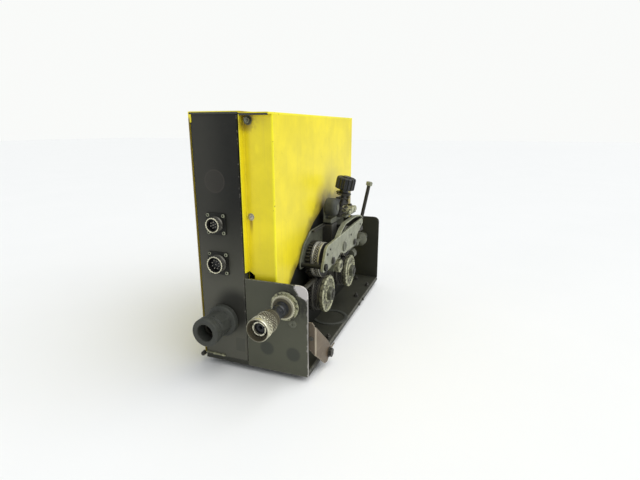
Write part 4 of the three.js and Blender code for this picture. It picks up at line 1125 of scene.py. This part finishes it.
def build_rolls(sizes):
    """Four feed rolls with a knurled band and a wire groove, the lower caps, and the shafts' ends."""
    start, stop = ROLL_X
    depth = sizes.knurl / MM
    for end, y in ROLL_Y.items():
        for level, z, bore in (("lower", LOWER_Z, 6.3), ("upper", UPPER_Z, 5.3)):
            profile = looped([
                (bore, start), (29.6, start), (31.7, start + 0.8), (31.7, WIRE_X - 1.2), (30.7, WIRE_X),
                (31.7, WIRE_X + 1.2), (31.7, stop - 4.6), (30.6, stop - 4.0), (30.6, stop - 3.0),
                (31.6, stop - 2.6), (31.6, stop - 0.7), (30.9, stop), (24, stop), (23, stop - 1.4),
                (15, stop - 1.4), (14, stop), (bore, stop)])
            wave = knurl(40, 4.8, 2.2 * depth / 32, [(start + 0.9, WIRE_X - 1.3), (WIRE_X + 1.3, stop - 4.7)])
            piece(f"{end}_{level}_feed_roll", revolve("x", (y, z), profile, 300, wave),
                  "knurled_steel" if level == "upper" else "dull_knurl", body=f"{end}_{level}",
                  replaces=[f"{end}_{level}_roll"], groove=depth_below((0, y, z), (1, 0, 0), 31.6, 30.5))
        cap, tip = CAP_X
        face = cap + 8.5
        at = (y, LOWER_Z)
        body = f"{end}_lower"
        disc = revolve("x", at, [
            (0, cap + 0.1), (30.5, cap + 0.1), (33, cap + 0.9), (33.5, cap + 2), (33.5, face - 1.4),
            (32.6, face - 0.4), (30.8, face), (28.6, face), (27.8, face - 1.5), (15.0, face - 1.5),
            (14.2, face - 0.3), (0, face - 0.3)], 96)
        dimples = [rod("x", (y + 21.5 * math.cos(a), LOWER_Z + 21.5 * math.sin(a)),
                   2.6, face - 3.4, face + 1, 20) for a in np.arange(6) * TURN / 6]
        piece(f"{end}_cap_disc", disc, "cream_coat", body=body, replaces=[f"{end}_roll_cap"],
              holes=dimples, bevel=0.25, groove=lambda p, f=face: (p[:, 0] < f - 1.3) * 0.75)
        hub = revolve("x", at, dense([(0, face - 0.5), (11.6, face - 0.5), (11.9, face), (11.9, tip - 2.6),
                                      (10.6, tip - 0.9), (7.4, tip - 0.5), (6.8, tip - 1.6),
                      (0, tip - 1.6)], 0.7), 120, lobes(5, 0.085, face - 1, tip - 0.4))
        bolt = merge(hexagon("x", at, 9.5, tip - 1.8, tip + 0.4, 0.2),
                     revolve("x", at, [(0, tip), (2.6, tip), (2.6, tip + 0.9), (2.0, tip + 1.4),
                     (0, tip + 1.4)], 24))
        piece(f"{end}_cap_hub", hub, "cheek_olive", body=body,
              groove=depth_below((0, *at), (1, 0, 0), 12.8, 10.0))
        piece(f"{end}_cap_bolt", bolt, "oiled_steel", body=body, bevel=0.2)
        shaft = merge(rod("x", at, 6, 112, CAP_X[0] + 4.8), rod("x", at, 10, 112, 119.6),
                      rod("x", at, 9.2, PLATE_X[1] + 0.4, GEAR_X[0] - 0.3))
        piece(f"{end}_lower_spindle", shaft, "turned_steel", body=body,
              replaces=[f"{end}_lower_shaft"], bevel=0.4)
        top = (y, UPPER_Z)
        reach = high(f"{end}_upper_axle")[0]
        axle = merge(rod("x", top, 5, CASE_RIGHT + 0.6, reach - 0.6),
                     rod("x", top, 8.4, 133.2, GEAR_X[0] - 0.3), rod("x", top, 8.4, ROLL_X[1] + 0.3, 169.6),
                     revolve("x", top, [(5.0, 176.4), (7.2, 176.4), (7.2, 177.4), (5.0, 177.4)], 36),
                     revolve("x", top, [(0, reach - 1.4), (4.4, reach - 1.4), (4.0, reach), (2.2, reach),
                                        (1.6, reach - 0.8), (0, reach - 0.8)], 28))
        piece(f"{end}_upper_spindle", axle, "oiled_steel", body="arm", replaces=[f"{end}_upper_axle"],
                bevel=0.3)
    at = (DRIVE_Y, LOWER_Z)
    tip = high("drive_shaft")[0]
    shaft = merge(rod("x", at, 8, 100.5, tip), rod("x", at, 12.5, PLATE_X[1] + 0.5, GEAR_X[0] - 0.3),
                  revolve("x", at, [(8.0, tip - 3), (11, tip - 3), (11, tip - 1.8), (8.0, tip - 1.8)], 36),
                  hexagon("x", at, 9, tip - 0.3, tip + 2.2))
    piece("drive_spindle", shaft, "turned_steel", body="drive", replaces=["drive_shaft"], bevel=0.4)


def build_guides():
    """Wire guides before, between and behind the rolls, and the drive plate they stand on."""
    at = (WIRE_X, WIRE_Z)
    ends = low("outlet_guide")[1], high("outlet_guide")[1]
    front = looped([(1.3, ends[0]), (4.2, ends[0]), (4.2, 20), (5.6, 20.5), (5.6, 26), (4.2, 26.5),
                   (4.2, ends[1] - 8), (2.2, ends[1]), (1.3, ends[1])], 4)
    piece("front_wire_guide", revolve("y", at, front, 40), "dark_contact", replaces=["outlet_guide"])
    a, b = low("middle_guide")[1], high("middle_guide")[1]
    tube = revolve("y", at, [(1.3, a), (2.2, a), (4.2, a + 8), (4.2, b - 8), (2.2, b), (1.3, b)], 40)
    body = prism("x", rectangle((DRIVE_Y - 12, DRIVE_Y + 12), (97, 130), 3),
                 144, 158)
    post = rod("x", (DRIVE_Y, 124), 5, PLATE_X[1] + 0.4, 146)
    piece("middle_wire_guide", merge(tube, body, post), "cast_grey", replaces=["middle_guide"], bevel=0.7)
    face = 169.0
    disc = revolve("x", (DRIVE_Y, WIRE_Z), [
        (0, 157.5), (11.5, 157.5), (13, 158.5), (13, face - 2), (12, face - 0.6), (9.6, face), (5.2, face),
        (4.4, face - 1.4), (0, face - 1.4)], 56, lobes(12, 0.018, 158, face - 1))
    piece("guide_clamp_disc", disc, "cream_coat", groove=lambda p: (p[:, 0] < face - 1.2) * 0.5)
    piece("guide_clamp_screw", hexagon("x", (DRIVE_Y, WIRE_Z), 6.4, face - 1.6, face + 1.4),
            "oiled_steel", bevel=0.2)
    start, stop = low("inlet_guide")[1], high("inlet_guide")[1]
    back = TRAY_BACK
    inlet = looped([
        (1.3, start), (2.2, start), (4.2, start + 8), (4.2, back - 54), (6.4, back - 53), (16, back - 45.5),
        (16.4, back - 43.5), (16.4, back - 37.5), (15.4, back - 35.5), (9.4, back - 24), (8, back - 22),
        (8, stop - 2.4), (7.2, stop), (3.4, stop), (1.3, back - 8)], 3)
    piece("inlet_cone", revolve("y", at, inlet, 72), "cheek_olive", replaces=["inlet_guide"])
    saddle = prism("y", rounded([(136, 88), (160, 88), (160, 97), (155, 103), (141, 103), (136, 97)], 2),
            344, 362)
    strap = prism("y", rectangle((126.2, 137), (90, 96), 1), 346, 360)
    tip = revolve("y", at, [(4.3, 388), (6.6, 388), (7.6, 391), (7.6, 396), (6.2, 399), (4.3, 399)], 40)
    piece("inlet_saddle", merge(saddle, strap), "cheek_olive", bevel=0.8)
    piece("inlet_nozzle", tip, "cheek_olive", bevel=0.3)
    y0, y1 = low("drive_plate")[1], high("drive_plate")[1]
    top = high("drive_plate")[2]
    plate = prism("x", rectangle((y0, y1), (0.4, top), 6), *PLATE_X)
    holes = [rod("x", at, radius, PLATE_X[0] - 1, PLATE_X[1] + 1) for at, radius in (
        ((ROLL_Y["front"], LOWER_Z), 6.3), ((ROLL_Y["rear"], LOWER_Z), 6.3), ((DRIVE_Y, LOWER_Z), 8.3),
        ((HINGE_Y, HINGE_Z), 4.3))]
    piece("mounting_plate", plate, "black_enamel", replaces=["drive_plate"], holes=holes, bevel=0.5)
    heads = []
    for y, z in ((60, 20), (90, 60), (180, 28), (250, 28), (330, 40), (385, 30), (385, 120), (340, 130)):
        heads += [hexagon("x", (y, z), 10, PLATE_X[1] + 1.0, PLATE_X[1] + 6.2, y * 0.1),
                  rod("x", (y, z), 8, PLATE_X[1] - 0.1, PLATE_X[1] + 1.1, 36)]
    piece("plate_bolts", merge(*heads), "oiled_steel", bevel=0.3)
    for name, finish in (("partition", "flange_black"), ("drive_motor", "oiled_steel"),
                         ("gearbox", "cast_grey"), ("control_board", "board_green"),
                         ("cable_gland", "moulded_black")):
        frame["nodes"][name].material_slots[0].material = bpy.data.materials[finish]


def build_arm():
    """The pressure arm: two cheeks, their webs, the boss and the hinge pin."""
    top = high("pressure_arm")[2]
    inner = rounded([
        (96, 132), (160, 130), (200, 141), (268, 130), (300, 130), (330, 150), (362, 166), (362, 176),
        (350, 182), (290, top), (148, top), (116, 172), (97, 146)],
        [6, 14, 20, 8, 14, 8, 3, 3, 6, 10, 16, 14, 8])
    outer = rounded([
        (96, 132), (104, 130.5), (159, 131), (196, 141), (221, 132), (297, 131), (310, 150), (354, 166),
        (352, 174), (345, 178), (122, 173), (113, 168), (97, 140)],
        [3, 2, 12, 20, 12, 8, 8, 3, 3, 4, 8, 8, 10])
    pins = [rod("x", at, radius, 128, 182) for at, radius in (
        ((HINGE_Y, HINGE_Z), 4.3), ((ROLL_Y["front"], UPPER_Z), 5.3), ((ROLL_Y["rear"], UPPER_Z), 5.3))]
    piece("arm_inner_cheek", prism("x", inner, 130, 133), "cheek_olive", body="arm",
          replaces=["pressure_arm"], holes=pins, bevel=0.6)
    piece("arm_outer_cheek", prism("x", outer, 170, 175), "cast_grey", body="arm", holes=pins, bevel=1.0)
    rear = prism("x", rectangle((345, 350), (157, 178), 0.8), 132.6, 170.4)
    mid = prism("x", rectangle((DRIVE_Y - 8, DRIVE_Y + 22), (152, top), 3), 132.6, 152)
    lid = prism("x", rectangle((150, 206), (top - 3.4, top - 0.4), 1), 132.6, 139)
    piece("arm_webs", merge(rear, mid, lid), "oiled_steel", body="arm", bevel=0.8)
    rim = bent([(184, 170), (204, 181), (226, top - 1.4), (262, top - 0.4), (302, top - 0.6), (338, 184),
            (351, 177)], 2.2, 5.0)
    piece("arm_rim", prism("x", rim, 166, 174.6), "cast_grey", body="arm", bevel=0.5)
    boss = revolve("x", (DRIVE_Y - 2, 148), [
        (0, 174.6), (9.8, 174.6), (9.2, 175.6), (9, 177), (8.3, 178), (5.6, 178), (5.0, 177), (0, 177)], 56)
    piece("arm_boss", boss, "cheek_olive", body="arm", bevel=0.2)
    ends = [revolve("x", (y, z), [(0, 174.9), (r, 174.9), (r * 0.94, 176.0), (r * 0.5, 176.3),
            (0, 176.3)], 28) for y, z, r in ((118, 158, 2.6), (133, 163.5, 1.8), (262, 160, 2.2),
            (330, 168, 2.4))]
    piece("arm_rivets", merge(*ends), "oiled_steel", body="arm", bevel=0.1)
    pin = merge(rod("x", (HINGE_Y, HINGE_Z), 4, PLATE_X[0] - 2, 177.4), revolve("x", (HINGE_Y, HINGE_Z), [
        (0, 176), (6.5, 176), (6.5, 178), (5.6, 179), (2.4, 179), (2.0, 178), (0, 178)], 40),
        rod("x", (HINGE_Y, HINGE_Z), 7.5, PLATE_X[1] + 0.2, 129.6))
    piece("hinge_bolt", pin, "flange_black", replaces=["hinge_pin"], bevel=0.3)


def build_bridge():
    """What stands on the arm: bridge, roller on its ear, and the clamp block."""
    (_, y0, z0), (_, y1, _) = low("pressure_bridge"), high("pressure_bridge")
    top = z0 + 9.6
    beam = prism("x", rounded([(y0, z0 + 3), (y0 + 6, z0), (y1 - 8, z0), (y1, z0 + 3), (y1, top - 2),
                               (y1 - 3, top), (y0 + 3, top), (y0, top - 3)], 2), 134, 150)
    slab = prism("x", rounded([(y0 + 40, top - 3.6), (y1, top - 3.6), (y1, top - 1), (y1 - 2, top),
                               (y0 + 42, top), (y0 + 40, top - 1)], 1), 149, 168)
    roll = middle("lever_roller")
    y, z = roll[1], roll[2]
    ear = prism("x", rectangle((y - 9, y + 9), (top - 3, z + 8), [0.5, 0.5, 7, 7]), 134, 137.6)
    pin = merge(rod("x", (y, z), 4, 135, 160.6), revolve("x", (y, z), [
        (0, 160.2), (6.4, 160.2), (6.2, 161.0), (4.6, 161.5), (0, 161.6)], 36))
    piece("bridge_beam", merge(beam, slab, ear), "cheek_olive", body="arm", replaces=["pressure_bridge"],
            bevel=0.9)
    piece("roller_pin", pin, "cheek_olive", body="arm", bevel=0.2)
    profile = looped([(4.5, 138.2), (15.4, 138.2), (16.8, 139.0), (17.5, 140.6), (17.5, 152.6), (17.0, 155.2),
                     (15.6, 157.6), (13.2, 159.2), (9.6, 160), (4.5, 160)], 1.5)
    piece("rubber_roller", revolve("x", (y, z), profile, 88), "aged_rubber", body="roller",
            replaces=["lever_roller"])
    (bx, by, bz), (tx, ty, tz) = low("clamp_block"), high("clamp_block")
    block_top = prism("x", rounded([(by, bz), (ty, bz), (ty, tz - 4), (ty - 5, tz), (by + 5, tz),
                      (by, tz - 5)], 1.6), bx, tx)
    piece("clamp_bar", block_top, "cream_coat", body="arm", replaces=["clamp_block"], bevel=0.9)
    bolts = [form for y in (by + 10, ty - 9) for form in (
        hexagon("z", (bx + 12, y), 7, tz - 0.4, tz + 3.6, y), rod("z", (bx + 12, y),
        5.4, tz - 0.5, tz + 0.5, 28))]
    piece("clamp_bolts", merge(*bolts), "oiled_steel", body="arm", bevel=0.25)
    lever = prism("x", rounded([
        (300, top + 1), (324, top - 6), (345, top - 14), (352, top - 12), (352, top - 7), (326, top + 2),
        (304, top + 8)], 2.5), 140, 147)
    piece("bridge_tail", lever, "oiled_steel", body="arm", bevel=0.8)


def build_studs(sizes):
    """The leaning tension stud with its spring and knob, and the swing stud with its bracket."""
    pitch = sizes.thread / MM
    pivot, swing = KNOB_AT, SWING_AT
    line = KNOB_AXIS
    rod_rows = [(0, 0), *[(4, s) for s in np.arange(0, 72, pitch / 6)], (3.4, 72), (0, 72)]
    stud = revolve("z", (0, 0), rod_rows, 28, thread(pitch, 0.16))
    base = merge(hexagon("z", (0, 0), 11, -1.2, 3.6), rod("z", (0, 0), 8.6, -1.4, -0.2, 40))
    piece("tension_rod", leaned(stud, pivot), "oiled_steel", body="arm", replaces=["tension_stud"],
          groove=depth_below(pivot, line, 4.05, 3.4))
    piece("tension_seat", leaned(base, pivot), "oiled_steel", body="arm", bevel=0.3)
    turns, wire, reach = 5, 1.0, 12.6
    t = np.linspace(0, 1, turns * 44)
    rise = np.interp(t, [0, 0.12, 0.88, 1], [0, 0.03, 0.97, 1])
    angle = TURN * turns * t
    path = np.stack([reach * np.cos(angle), reach * np.sin(angle), 3.4 + rise * 39.2], axis=-1)
    piece("open_spring", leaned(swept(path, wire, 14), pivot), "oiled_steel", body="arm",
            replaces=["tension_spring"])
    washer = revolve("z", (0, 0), [(4.6, 44), (14.6, 44), (15, 44.5), (15, 45.3), (14.4, 45.7),
            (4.6, 45.7)], 56)
    piece("spring_plate", leaned(washer, pivot), "oiled_steel", body="arm", bevel=0.1)

    def ribs(angle, station):
        """Between two stations, fourteen ribs: a cosine stretched and cut off at 0 and 1, its low parts 0.11
        below the full radius."""
        wide = np.clip(0.5 + 1.6 * np.cos(14 * angle), 0, 1)
        return np.where((station > 53.4) & (station < 76.2), 1 - 0.11 * (1 - wide), 1.0)
    knob = dense([(0, 46), (8.6, 46), (8.6, 52.6), (16.4, 52.8), (18.6, 53.8), (19, 55.4), (19, 71.5),
                  (18.6, 73.6), (17.4, 75.2), (15.4, 76), (13.4, 76.1), (12.8, 75.2), (9.0, 75.2),
                  (8.2, 77.2), (6.8, 78), (0, 78)], 0.9)
    piece("ribbed_knob", leaned(revolve("z", (0, 0), knob, 192, ribs), pivot), "moulded_black", body="knob",
          replaces=["tension_knob"], groove=depth_below(pivot, line, 19, 17.0))

    swing_line = (math.sin(LEAN), 0, math.cos(LEAN))
    shank = revolve("z", (0, 0), [(0, 4.6), *[(4.2, s) for s in np.arange(4.6, 100.4, pitch / 6)],
                                  (3.5, 100.6), (0, 100.6)], 28, thread(pitch, 0.15))
    eye = revolve("y", (0, 0), [(3.3, -5), (5.6, -5), (6.2, -4.4), (6.2, 4.4), (5.6, 5), (3.3, 5)], 48)
    neck = revolve("z", (0, 0), [(0, 3.6), (5.2, 3.6), (4.6, 8), (0, 8)], 32)
    nut = merge(hexagon("z", (0, 0), 12.2, 100, 107), revolve("z", (0, 0), [(0, 99), (6.6, 99), (6.6, 100.1),
                                                             (0, 100.1)], 36))
    piece("swing_rod", leaned(shank, swing), "oiled_steel", body="swing_stud", replaces=["rear_stud"],
          groove=depth_below(swing, swing_line, 4.25, 3.6))
    piece("swing_eye", leaned(merge(eye, neck), swing), "oiled_steel", body="swing_stud", bevel=0.2)
    piece("swing_head", leaned(nut, swing), "cast_grey", body="swing_stud", bevel=0.3)
    x, y, z = swing
    tail = prism("z", rectangle((PLATE_X[1] + 0.4, x - 10), (y - 9.6, y + 9.6), 1.2), z - 8, z + 8)
    ears = [prism("y", rectangle((x - 11, x + 6), (z - 8, z + 6), [1, 6, 6, 1]),
                  y + side * 7.6 - 2, y + side * 7.6 + 2) for side in (-1, 1)]
    pin = merge(rod("y", (x, z), 3, y - 11, y + 11, 32), rod("y", (x, z), 4.8, y - 11.6, y - 9.8, 32),
                rod("y", (x, z), 4.8, y + 9.8, y + 11.6, 32))
    piece("swing_bracket", merge(tail, *ears), "oiled_steel", replaces=["stud_bracket"], bevel=0.7)
    piece("swing_pin", pin, "turned_steel", bevel=0.3)


def build_bracket():
    """The bent bracket outside the front right corner, its bolt, spacer and screw. A strip is bent round the
    corner, and both legs are then cut to the slanting outlines of the real one."""
    (x0, y0, _), (x1, y1, _) = low("side_bracket"), high("side_bracket")
    strip = bent([(x0, y0), (x1, y0), (x1, y1 + 2)], 2.0, 3.4)
    above = [(y0 - 1, 79), (58, 30), (77, 8), (y1 + 3, 8), (y1 + 3, 90), (y0 - 1, 90)]
    below = [(y0 - 1, 31), (44, -5), (56, -8), (79, 6), (y1 + 3, 6), (y1 + 3, -20), (y0 - 1, -20)]
    front = [(x0 - 1, 95), (186, 90), (x1 - 3, 80), (x1 - 3, 99), (x0 - 1, 99)]
    foot = [(x0 - 1, 42), (186, 38), (x1 - 3, 31), (x1 - 3, -20), (x0 - 1, -20)]
    holes = [prism("x", rounded(above, [0, 2, 5, 0, 0, 0]), x1 - 3, x1 + 1),
             prism("x", rounded(below, [0, 3, 6, 3, 0, 0, 0]), x1 - 3, x1 + 1),
             prism("y", foot, y0 - 1, y0 + 3), prism("y", front, y0 - 1, y0 + 3),
             rod("x", (65, 5), 4.4, x1 - 4, x1 + 2)]
    # The bend is marked as an edge, so the paint is made paler along it: a painted highlight on the bend.
    piece("corner_bracket", prism("z", strip, -10, 84), "brown_steel", replaces=["side_bracket"], holes=holes,
          bevel=0.45, folds=[("z", (x1, y0), 2.6)])
    head = high("bracket_bolt")[0]
    bolt = merge(hexagon("x", (65, 5), 13.6, x1 + 1.2, head, 0.25), rod("x", (65, 5),
                 8.6, x1 + 0.1, x1 + 1.3, 40), rod("x", (65, 5), 4, TRAY_RIGHT + 0.3, x1 + 2),
                 revolve("x", (65, 5), [(4.4, TRAY_RIGHT + 0.4), (9, TRAY_RIGHT + 0.4), (9, x1 - 2.4),
                                        (4.4, x1 - 2.4)], 40))
    piece("corner_bolt", bolt, "oiled_steel", replaces=["bracket_bolt"], bevel=0.35)
    piece("bracket_screw", pan_screw("y", (189.5, 58), y0 - 0.1, -1, 3.4), "oiled_steel", bevel=0.1)


def build_services():
    """Cable gland and gas nipple at the back."""
    gland, back = middle("cable_gland"), CASE_BACK
    at = (gland[0], gland[2])
    body = revolve("y", at, looped([
        (9, back - 12), (14, back - 12), (14, back + 0.4), (18.4, back + 0.4), (19, back + 1), (19, back + 7),
        (18.2, back + 8), (15.4, back + 9), (15.2, back + 14), (15.2, back + 20), (13.4, back + 23),
        (12, back + 24), (9, back + 24)], 1.5), 96, lobes(14, 0.02, back + 9.5, back + 20.5))
    piece("gland_body", body, "moulded_black", replaces=["cable_gland"])
    gas = (middle("gas_valve")[0], 150.0)
    nipple = revolve("y", gas, looped([
        (2.5, 359), (6, 359), (6, back + 8), (4.4, back + 8.6), (4.4, back + 10), (5.6, back + 12),
        (4.3, back + 14.6), (5.5, back + 16.4), (4.2, back + 19.4), (5.2, back + 21), (3.8, back + 24),
        (2.5, back + 24)], 1.5), 48)
    nut = hexagon("y", gas, 16, back + 0.3, back + 6.4)
    block_form = prism("y", rectangle((26, 53), (136, 164), 2), 330, 360)
    coil = revolve("z", (gas[0], 345), [(0, 163), (11.4, 163), (12, 164), (12, 194), (11, 196), (0, 196)], 48)
    piece("gas_nipple", merge(nipple, nut), "dull_brass", replaces=["gas_valve"], bevel=0.2)
    piece("gas_valve_body", merge(block_form, coil), "dull_brass", bevel=0.6)


def build_stage(sizes):
    """A pale floor in an even white surround, a broad light above and to the right, a weak one low at the
    front left, and the camera."""
    scene = bpy.context.scene
    reach = 14.0
    mesh = bpy.data.meshes.new("studio_floor")
    mesh.from_pydata([(-reach, -reach, 0), (reach, -reach, 0), (reach, reach, 0), (-reach, reach, 0)], [],
            [(0, 1, 2, 3)])
    mesh.materials.append(bpy.data.materials["studio_floor"])
    floor = bpy.data.objects.new("studio_floor", mesh)
    scene.collection.objects.link(floor)

    world = bpy.data.worlds.new("studio")
    scene.world = world
    world.use_nodes = True
    n = Nodes(world.node_tree)
    seen = world.node_tree.nodes["Background"]
    n.feed(seen.inputs["Color"], (0.95, 0.96, 0.945))
    lit = n.add("ShaderNodeBackground", Color=(0.94, 0.975, 1.0), Strength=0.46)
    shown = n.add("ShaderNodeMixShader")
    n.feed(shown.inputs[0], n.add("ShaderNodeLightPath").outputs["Is Camera Ray"])
    n.feed(shown.inputs[1], lit.outputs[0])
    n.feed(shown.inputs[2], seen.outputs[0])
    n.feed(world.node_tree.nodes["World Output"].inputs["Surface"], shown.outputs[0])

    for name, spot, strength, spread in (
            ("overhead_right", (0.74, -0.02, 1.0), 2.70, 75.0), ("low_left", (-0.80, -1.0, 0.12),
            0.30, 14.0)):
        light = bpy.data.lights.new(name, "SUN")
        light.energy, light.angle = strength, math.radians(spread)
        holder = bpy.data.objects.new(name, light)
        holder.rotation_euler = Vector(spot).to_track_quat("Z", "Y").to_euler()
        scene.collection.objects.link(holder)

    camera = bpy.data.objects.new("camera", bpy.data.cameras.new("camera"))
    camera.data.lens = sizes.lens
    camera.data.sensor_width = 36.0
    camera.location = (ZERO + CAMERA_AT) * MM
    camera.rotation_euler = (math.radians(90 - CAMERA_DOWN), 0, math.radians(CAMERA_TURN))
    scene.collection.objects.link(camera)
    scene.camera = camera
    scene.view_settings.view_transform = "Standard"


# ---------------------------------------------------------------- operators, panel, registration


class FEEDER_OT_finishes(bpy.types.Operator):
    """Makes the shader groups and every material"""
    bl_idname = "feeder.finishes"
    bl_label = "Finishes"

    def execute(self, context):
        build_groups()
        build_finishes(context.scene.feeder_colours)
        return {"FINISHED"}


class FEEDER_OT_case(bpy.types.Operator):
    """Makes the connector panel, rear panel, side cover and drive housing"""
    bl_idname = "feeder.case"
    bl_label = "Case"

    def execute(self, context):
        build_case(context.scene.feeder_sizes)
        return {"FINISHED"}


class FEEDER_OT_tray(bpy.types.Operator):
    """Makes the base tray, end plates, feet and small hardware"""
    bl_idname = "feeder.tray"
    bl_label = "Tray"

    def execute(self, context):
        build_tray(context.scene.feeder_sizes)
        return {"FINISHED"}


class FEEDER_OT_sockets(bpy.types.Operator):
    """Makes the two multi-pin sockets"""
    bl_idname = "feeder.sockets"
    bl_label = "Sockets"

    def execute(self, context):
        build_sockets()
        return {"FINISHED"}


class FEEDER_OT_weld_connector(bpy.types.Operator):
    """Makes the weld-current connector"""
    bl_idname = "feeder.weld_connector"
    bl_label = "Weld connector"

    def execute(self, context):
        build_weld_connector()
        return {"FINISHED"}


class FEEDER_OT_outlet(bpy.types.Operator):
    """Makes the outlet washer, nut, neck and coupling"""
    bl_idname = "feeder.outlet"
    bl_label = "Wire outlet"

    def execute(self, context):
        build_outlet(context.scene.feeder_sizes)
        return {"FINISHED"}


class FEEDER_OT_gears(bpy.types.Operator):
    """Makes the drive gear and the four roll gears"""
    bl_idname = "feeder.gears"
    bl_label = "Gears"

    def execute(self, context):
        build_gears()
        return {"FINISHED"}


class FEEDER_OT_rolls(bpy.types.Operator):
    """Makes the feed rolls, their caps and their shafts"""
    bl_idname = "feeder.rolls"
    bl_label = "Feed rolls"

    def execute(self, context):
        build_rolls(context.scene.feeder_sizes)
        return {"FINISHED"}


class FEEDER_OT_guides(bpy.types.Operator):
    """Makes the wire guides and the drive plate"""
    bl_idname = "feeder.guides"
    bl_label = "Guides"

    def execute(self, context):
        build_guides()
        return {"FINISHED"}


class FEEDER_OT_arm(bpy.types.Operator):
    """Makes the pressure arm and its hinge"""
    bl_idname = "feeder.arm"
    bl_label = "Pressure arm"

    def execute(self, context):
        build_arm()
        return {"FINISHED"}


class FEEDER_OT_bridge(bpy.types.Operator):
    """Makes the bridge, roller and clamp bar on the arm"""
    bl_idname = "feeder.bridge"
    bl_label = "Bridge"

    def execute(self, context):
        build_bridge()
        return {"FINISHED"}


class FEEDER_OT_studs(bpy.types.Operator):
    """Makes the tension stud, spring, knob and swing stud"""
    bl_idname = "feeder.studs"
    bl_label = "Studs"

    def execute(self, context):
        build_studs(context.scene.feeder_sizes)
        return {"FINISHED"}


class FEEDER_OT_bracket(bpy.types.Operator):
    """Makes the bent bracket and its bolt"""
    bl_idname = "feeder.bracket"
    bl_label = "Corner bracket"

    def execute(self, context):
        build_bracket()
        return {"FINISHED"}


class FEEDER_OT_services(bpy.types.Operator):
    """Makes the cable gland, gas valve and nipple"""
    bl_idname = "feeder.services"
    bl_label = "Services"

    def execute(self, context):
        build_services()
        return {"FINISHED"}


class FEEDER_OT_stage(bpy.types.Operator):
    """Makes the floor, studio light and camera"""
    bl_idname = "feeder.stage"
    bl_label = "Stage"

    def execute(self, context):
        build_stage(context.scene.feeder_sizes)
        return {"FINISHED"}


OPERATORS = (
    FEEDER_OT_finishes, FEEDER_OT_case, FEEDER_OT_tray, FEEDER_OT_sockets, FEEDER_OT_weld_connector,
    FEEDER_OT_outlet, FEEDER_OT_gears, FEEDER_OT_rolls, FEEDER_OT_guides, FEEDER_OT_arm, FEEDER_OT_bridge,
    FEEDER_OT_studs, FEEDER_OT_bracket, FEEDER_OT_services, FEEDER_OT_stage)


class FEEDER_PT_panel(bpy.types.Panel):
    """Lists the unit's sizes, colours and builders"""
    bl_idname = "FEEDER_PT_panel"
    bl_label = "Wire Feeder"
    bl_space_type = "VIEW_3D"
    bl_region_type = "UI"
    bl_category = "Wire Feeder"

    def draw(self, context):
        for settings in (context.scene.feeder_sizes, context.scene.feeder_colours):
            for key in settings.__annotations__:
                self.layout.prop(settings, key)
        for maker in OPERATORS:
            self.layout.operator(maker.bl_idname)


CLASSES = (FeederSizes, FeederColours, *OPERATORS, FEEDER_PT_panel)


def register():
    for cls in CLASSES:
        bpy.utils.register_class(cls)
    bpy.types.Scene.feeder_sizes = bpy.props.PointerProperty(type=FeederSizes)
    bpy.types.Scene.feeder_colours = bpy.props.PointerProperty(type=FeederColours)


def unregister():
    del bpy.types.Scene.feeder_colours
    del bpy.types.Scene.feeder_sizes
    for cls in reversed(CLASSES):
        bpy.utils.unregister_class(cls)


def main():
    register()
    for maker in OPERATORS:
        group, action = maker.bl_idname.split(".")
        getattr(getattr(bpy.ops, group), action)()


if __name__ == "__main__":
    main()
